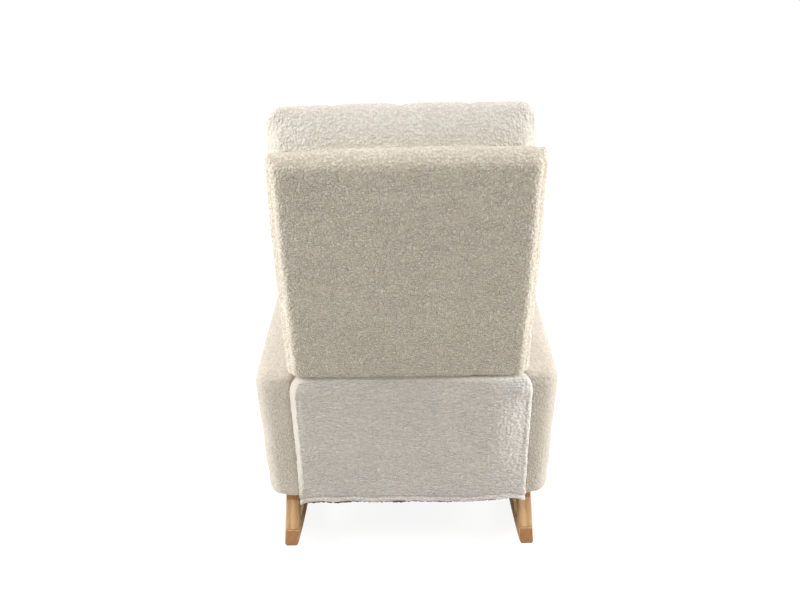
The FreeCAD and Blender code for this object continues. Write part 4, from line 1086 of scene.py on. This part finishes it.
WEBBING = webbing_material()
FINISHES = {
    FRAME_ALONG: ("arm_frame_", "seat_side_rail_", "corner_block_", "leg_dowels_"),
    FRAME_ACROSS: (
        "seat_front_rail", "seat_rear_rail", "back_bottom_rail", "back_middle_rail", "back_top_rail",
    ),
    FRAME_UPRIGHT: ("back_stile_",),
    STEEL: (
        "hinge_seat_plate_", "plate_screws_", "ratchet_housing_", "pivot_rivet_", "hinge_arm_", "sled_bolts_",
        "arm_bolts_",
    ),
    TAPE: ("flap_strip",),
}


def finish_nodes():
    for material, starts in FINISHES.items():
        for name, node in frame["nodes"].items():
            if name.startswith(starts):
                node.data.materials.clear()
                node.data.materials.append(material)


def copied(node, name):
    """A copy of a node's mesh with its corners joined again and its flat faces whole."""
    bm = bmesh.new()
    bm.from_mesh(frame["nodes"][node].data)
    bmesh.ops.remove_doubles(bm, verts=bm.verts, dist=1e-5)
    bmesh.ops.dissolve_limit(bm, angle_limit=math.radians(0.5), verts=bm.verts, edges=bm.edges)
    return new_piece(name, bm)


STRAP_LENGTHS = 48


def straps(node, along, push):
    """Stretched webbing straps that give a little in the middle of their run."""
    piece = copied(node, f"{node}_straps")
    low, high = (Vector(corner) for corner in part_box(node))
    bm = bmesh.new()
    bm.from_mesh(piece.data)
    normal = Vector([float(axis == along) for axis in range(3)])
    for number in range(1, STRAP_LENGTHS):
        place = low + (high - low) * (number / STRAP_LENGTHS)
        everything = bm.verts[:] + bm.edges[:] + bm.faces[:]
        bmesh.ops.bisect_plane(bm, geom=everything, plane_co=place, plane_no=normal)
    bm.to_mesh(piece.data)
    bm.free()
    points = points_of(piece)
    share = (points[:, along] - low[along]) / (high[along] - low[along])
    set_points(piece, points + np.sin(math.pi * share)[:, None] * np.array(push))
    piece.data.materials.clear()
    piece.data.materials.append(WEBBING)
    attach(piece, "base" if along == 1 else "backrest")
    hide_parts(node)


LINING_THICK = 0.0006
LINING_SLACK = 0.004
LINING_RIPPLE = 0.002
STAPLE_LENGTH = 0.011
STAPLE_WIRE = 0.0012
STAPLE_RISE = 0.0009
STAPLE_INSET = 0.01
STAPLE_MARGIN = 0.03
STAPLES_A_SIDE = 12


def dust_cover():
    """Black lining under the seat box, slack in its middle."""
    low, high = (np.array(corner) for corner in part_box("dust_cover"))
    bm = bmesh.new()
    bmesh.ops.create_grid(bm, x_segments=60, y_segments=70, size=1)
    piece = new_piece("dust_cover_lining", bm)
    flat = points_of(piece)
    across, along = flat[:, 0], flat[:, 1]
    slack = np.clip(1 - across**4, 0, 1) * np.clip(1 - along**4, 0, 1)
    ripple = np.array([noise.noise((a * 3, b * 3, 5.5)) for a, b in zip(across, along)])
    x = across * high[0]
    y = (low[1] + high[1]) / 2 + along * (high[1] - low[1]) / 2
    z = low[2] + 0.0004 - slack * (LINING_SLACK + LINING_RIPPLE * ripple)
    set_points(piece, np.stack([x, y, z], axis=1))
    thick = piece.modifiers.new("lining", "SOLIDIFY")
    thick.thickness = LINING_THICK
    settle(piece)
    smooth_shaded(piece)
    piece.data.materials.append(LINING)
    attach(piece, "base")
    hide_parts("dust_cover")


def lining_staples():
    """A row of staples along each side of the dust cover."""
    low, high = (np.array(corner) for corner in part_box("dust_cover"))
    across, along = (STAPLE_LENGTH, STAPLE_WIRE), (STAPLE_WIRE, STAPLE_LENGTH)
    bm = bmesh.new()
    for number in range(STAPLES_A_SIDE):
        share = number / (STAPLES_A_SIDE - 1)
        x = (share * 2 - 1) * (high[0] - STAPLE_MARGIN)
        y = low[1] + STAPLE_MARGIN + share * (high[1] - low[1] - 2 * STAPLE_MARGIN)
        for place, size in (
            ((x, low[1] + STAPLE_INSET), across),
            ((x, high[1] - STAPLE_INSET), across),
            ((-high[0] + STAPLE_INSET, y), along),
            ((high[0] - STAPLE_INSET, y), along),
        ):
            spot = Matrix.Translation((*place, low[2] - 0.0003)) @ Matrix.Diagonal((*size, STAPLE_RISE, 1))
            bmesh.ops.create_cube(bm, size=1, matrix=spot)
    bmesh.ops.bevel(
        bm, geom=bm.edges[:], offset=0.0003, segments=2, profile=0.5, affect="EDGES", material=-1
    )
    staples = new_piece("lining_staples", bm)
    staples.data.materials.append(STEEL)
    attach(staples, "base")


# How far the sleds' edges are eased, and the share of it that all but the rockers' lower edges get.
EASED = 0.0075
EASED_LESS = 0.4


def sled_piece(node, material):
    """One piece of a rocker sled, with its edges eased."""
    piece = copied(node, f"{node}_wood")
    bm = bmesh.new()
    bm.from_mesh(piece.data)
    rounding = bm.edges.layers.float.new("bevel_weight_edge")
    low, high = (corner[0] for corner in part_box(node))
    for edge in bm.edges:
        outside = all(min(corner.co.x - low, high - corner.co.x) < 1e-4 for corner in edge.verts)
        if outside and edge.calc_face_angle() > math.radians(30):
            below = any(face.normal.z < -0.5 for face in edge.link_faces)
            edge[rounding] = 1.0 if below and node.startswith("rocker") else EASED_LESS
    bm.to_mesh(piece.data)
    bm.free()
    eased = piece.modifiers.new("eased", "BEVEL")
    eased.width = EASED
    eased.segments = 5
    eased.limit_method = "WEIGHT"
    settle(piece)
    smooth_shaded(piece)
    piece.data.set_sharp_from_angle(angle=math.radians(32))
    piece.data.materials.clear()
    piece.data.materials.append(material)
    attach(piece, "base")
    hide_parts(node)


photo_camera()
studio()
for side, sign in SIDES:
    arm_cover(side, sign)
back_panel()
back_cushion()
seat_cushion()
front_apron()
rear_flap()
flap_backing()
finish_nodes()
straps("seat_webbing", 1, (0, 0, -0.004))
straps("back_webbing", 0, (0, 0.003, 0))
dust_cover()
lining_staples()
SLED = {"rocker": ALONG, "sled_rail": ALONG, "rear_leg": REAR_LEG, "front_leg": FRONT_LEG}
for side, _ in SIDES:
    for part, material in SLED.items():
        sled_piece(f"{part}_{side}", material)
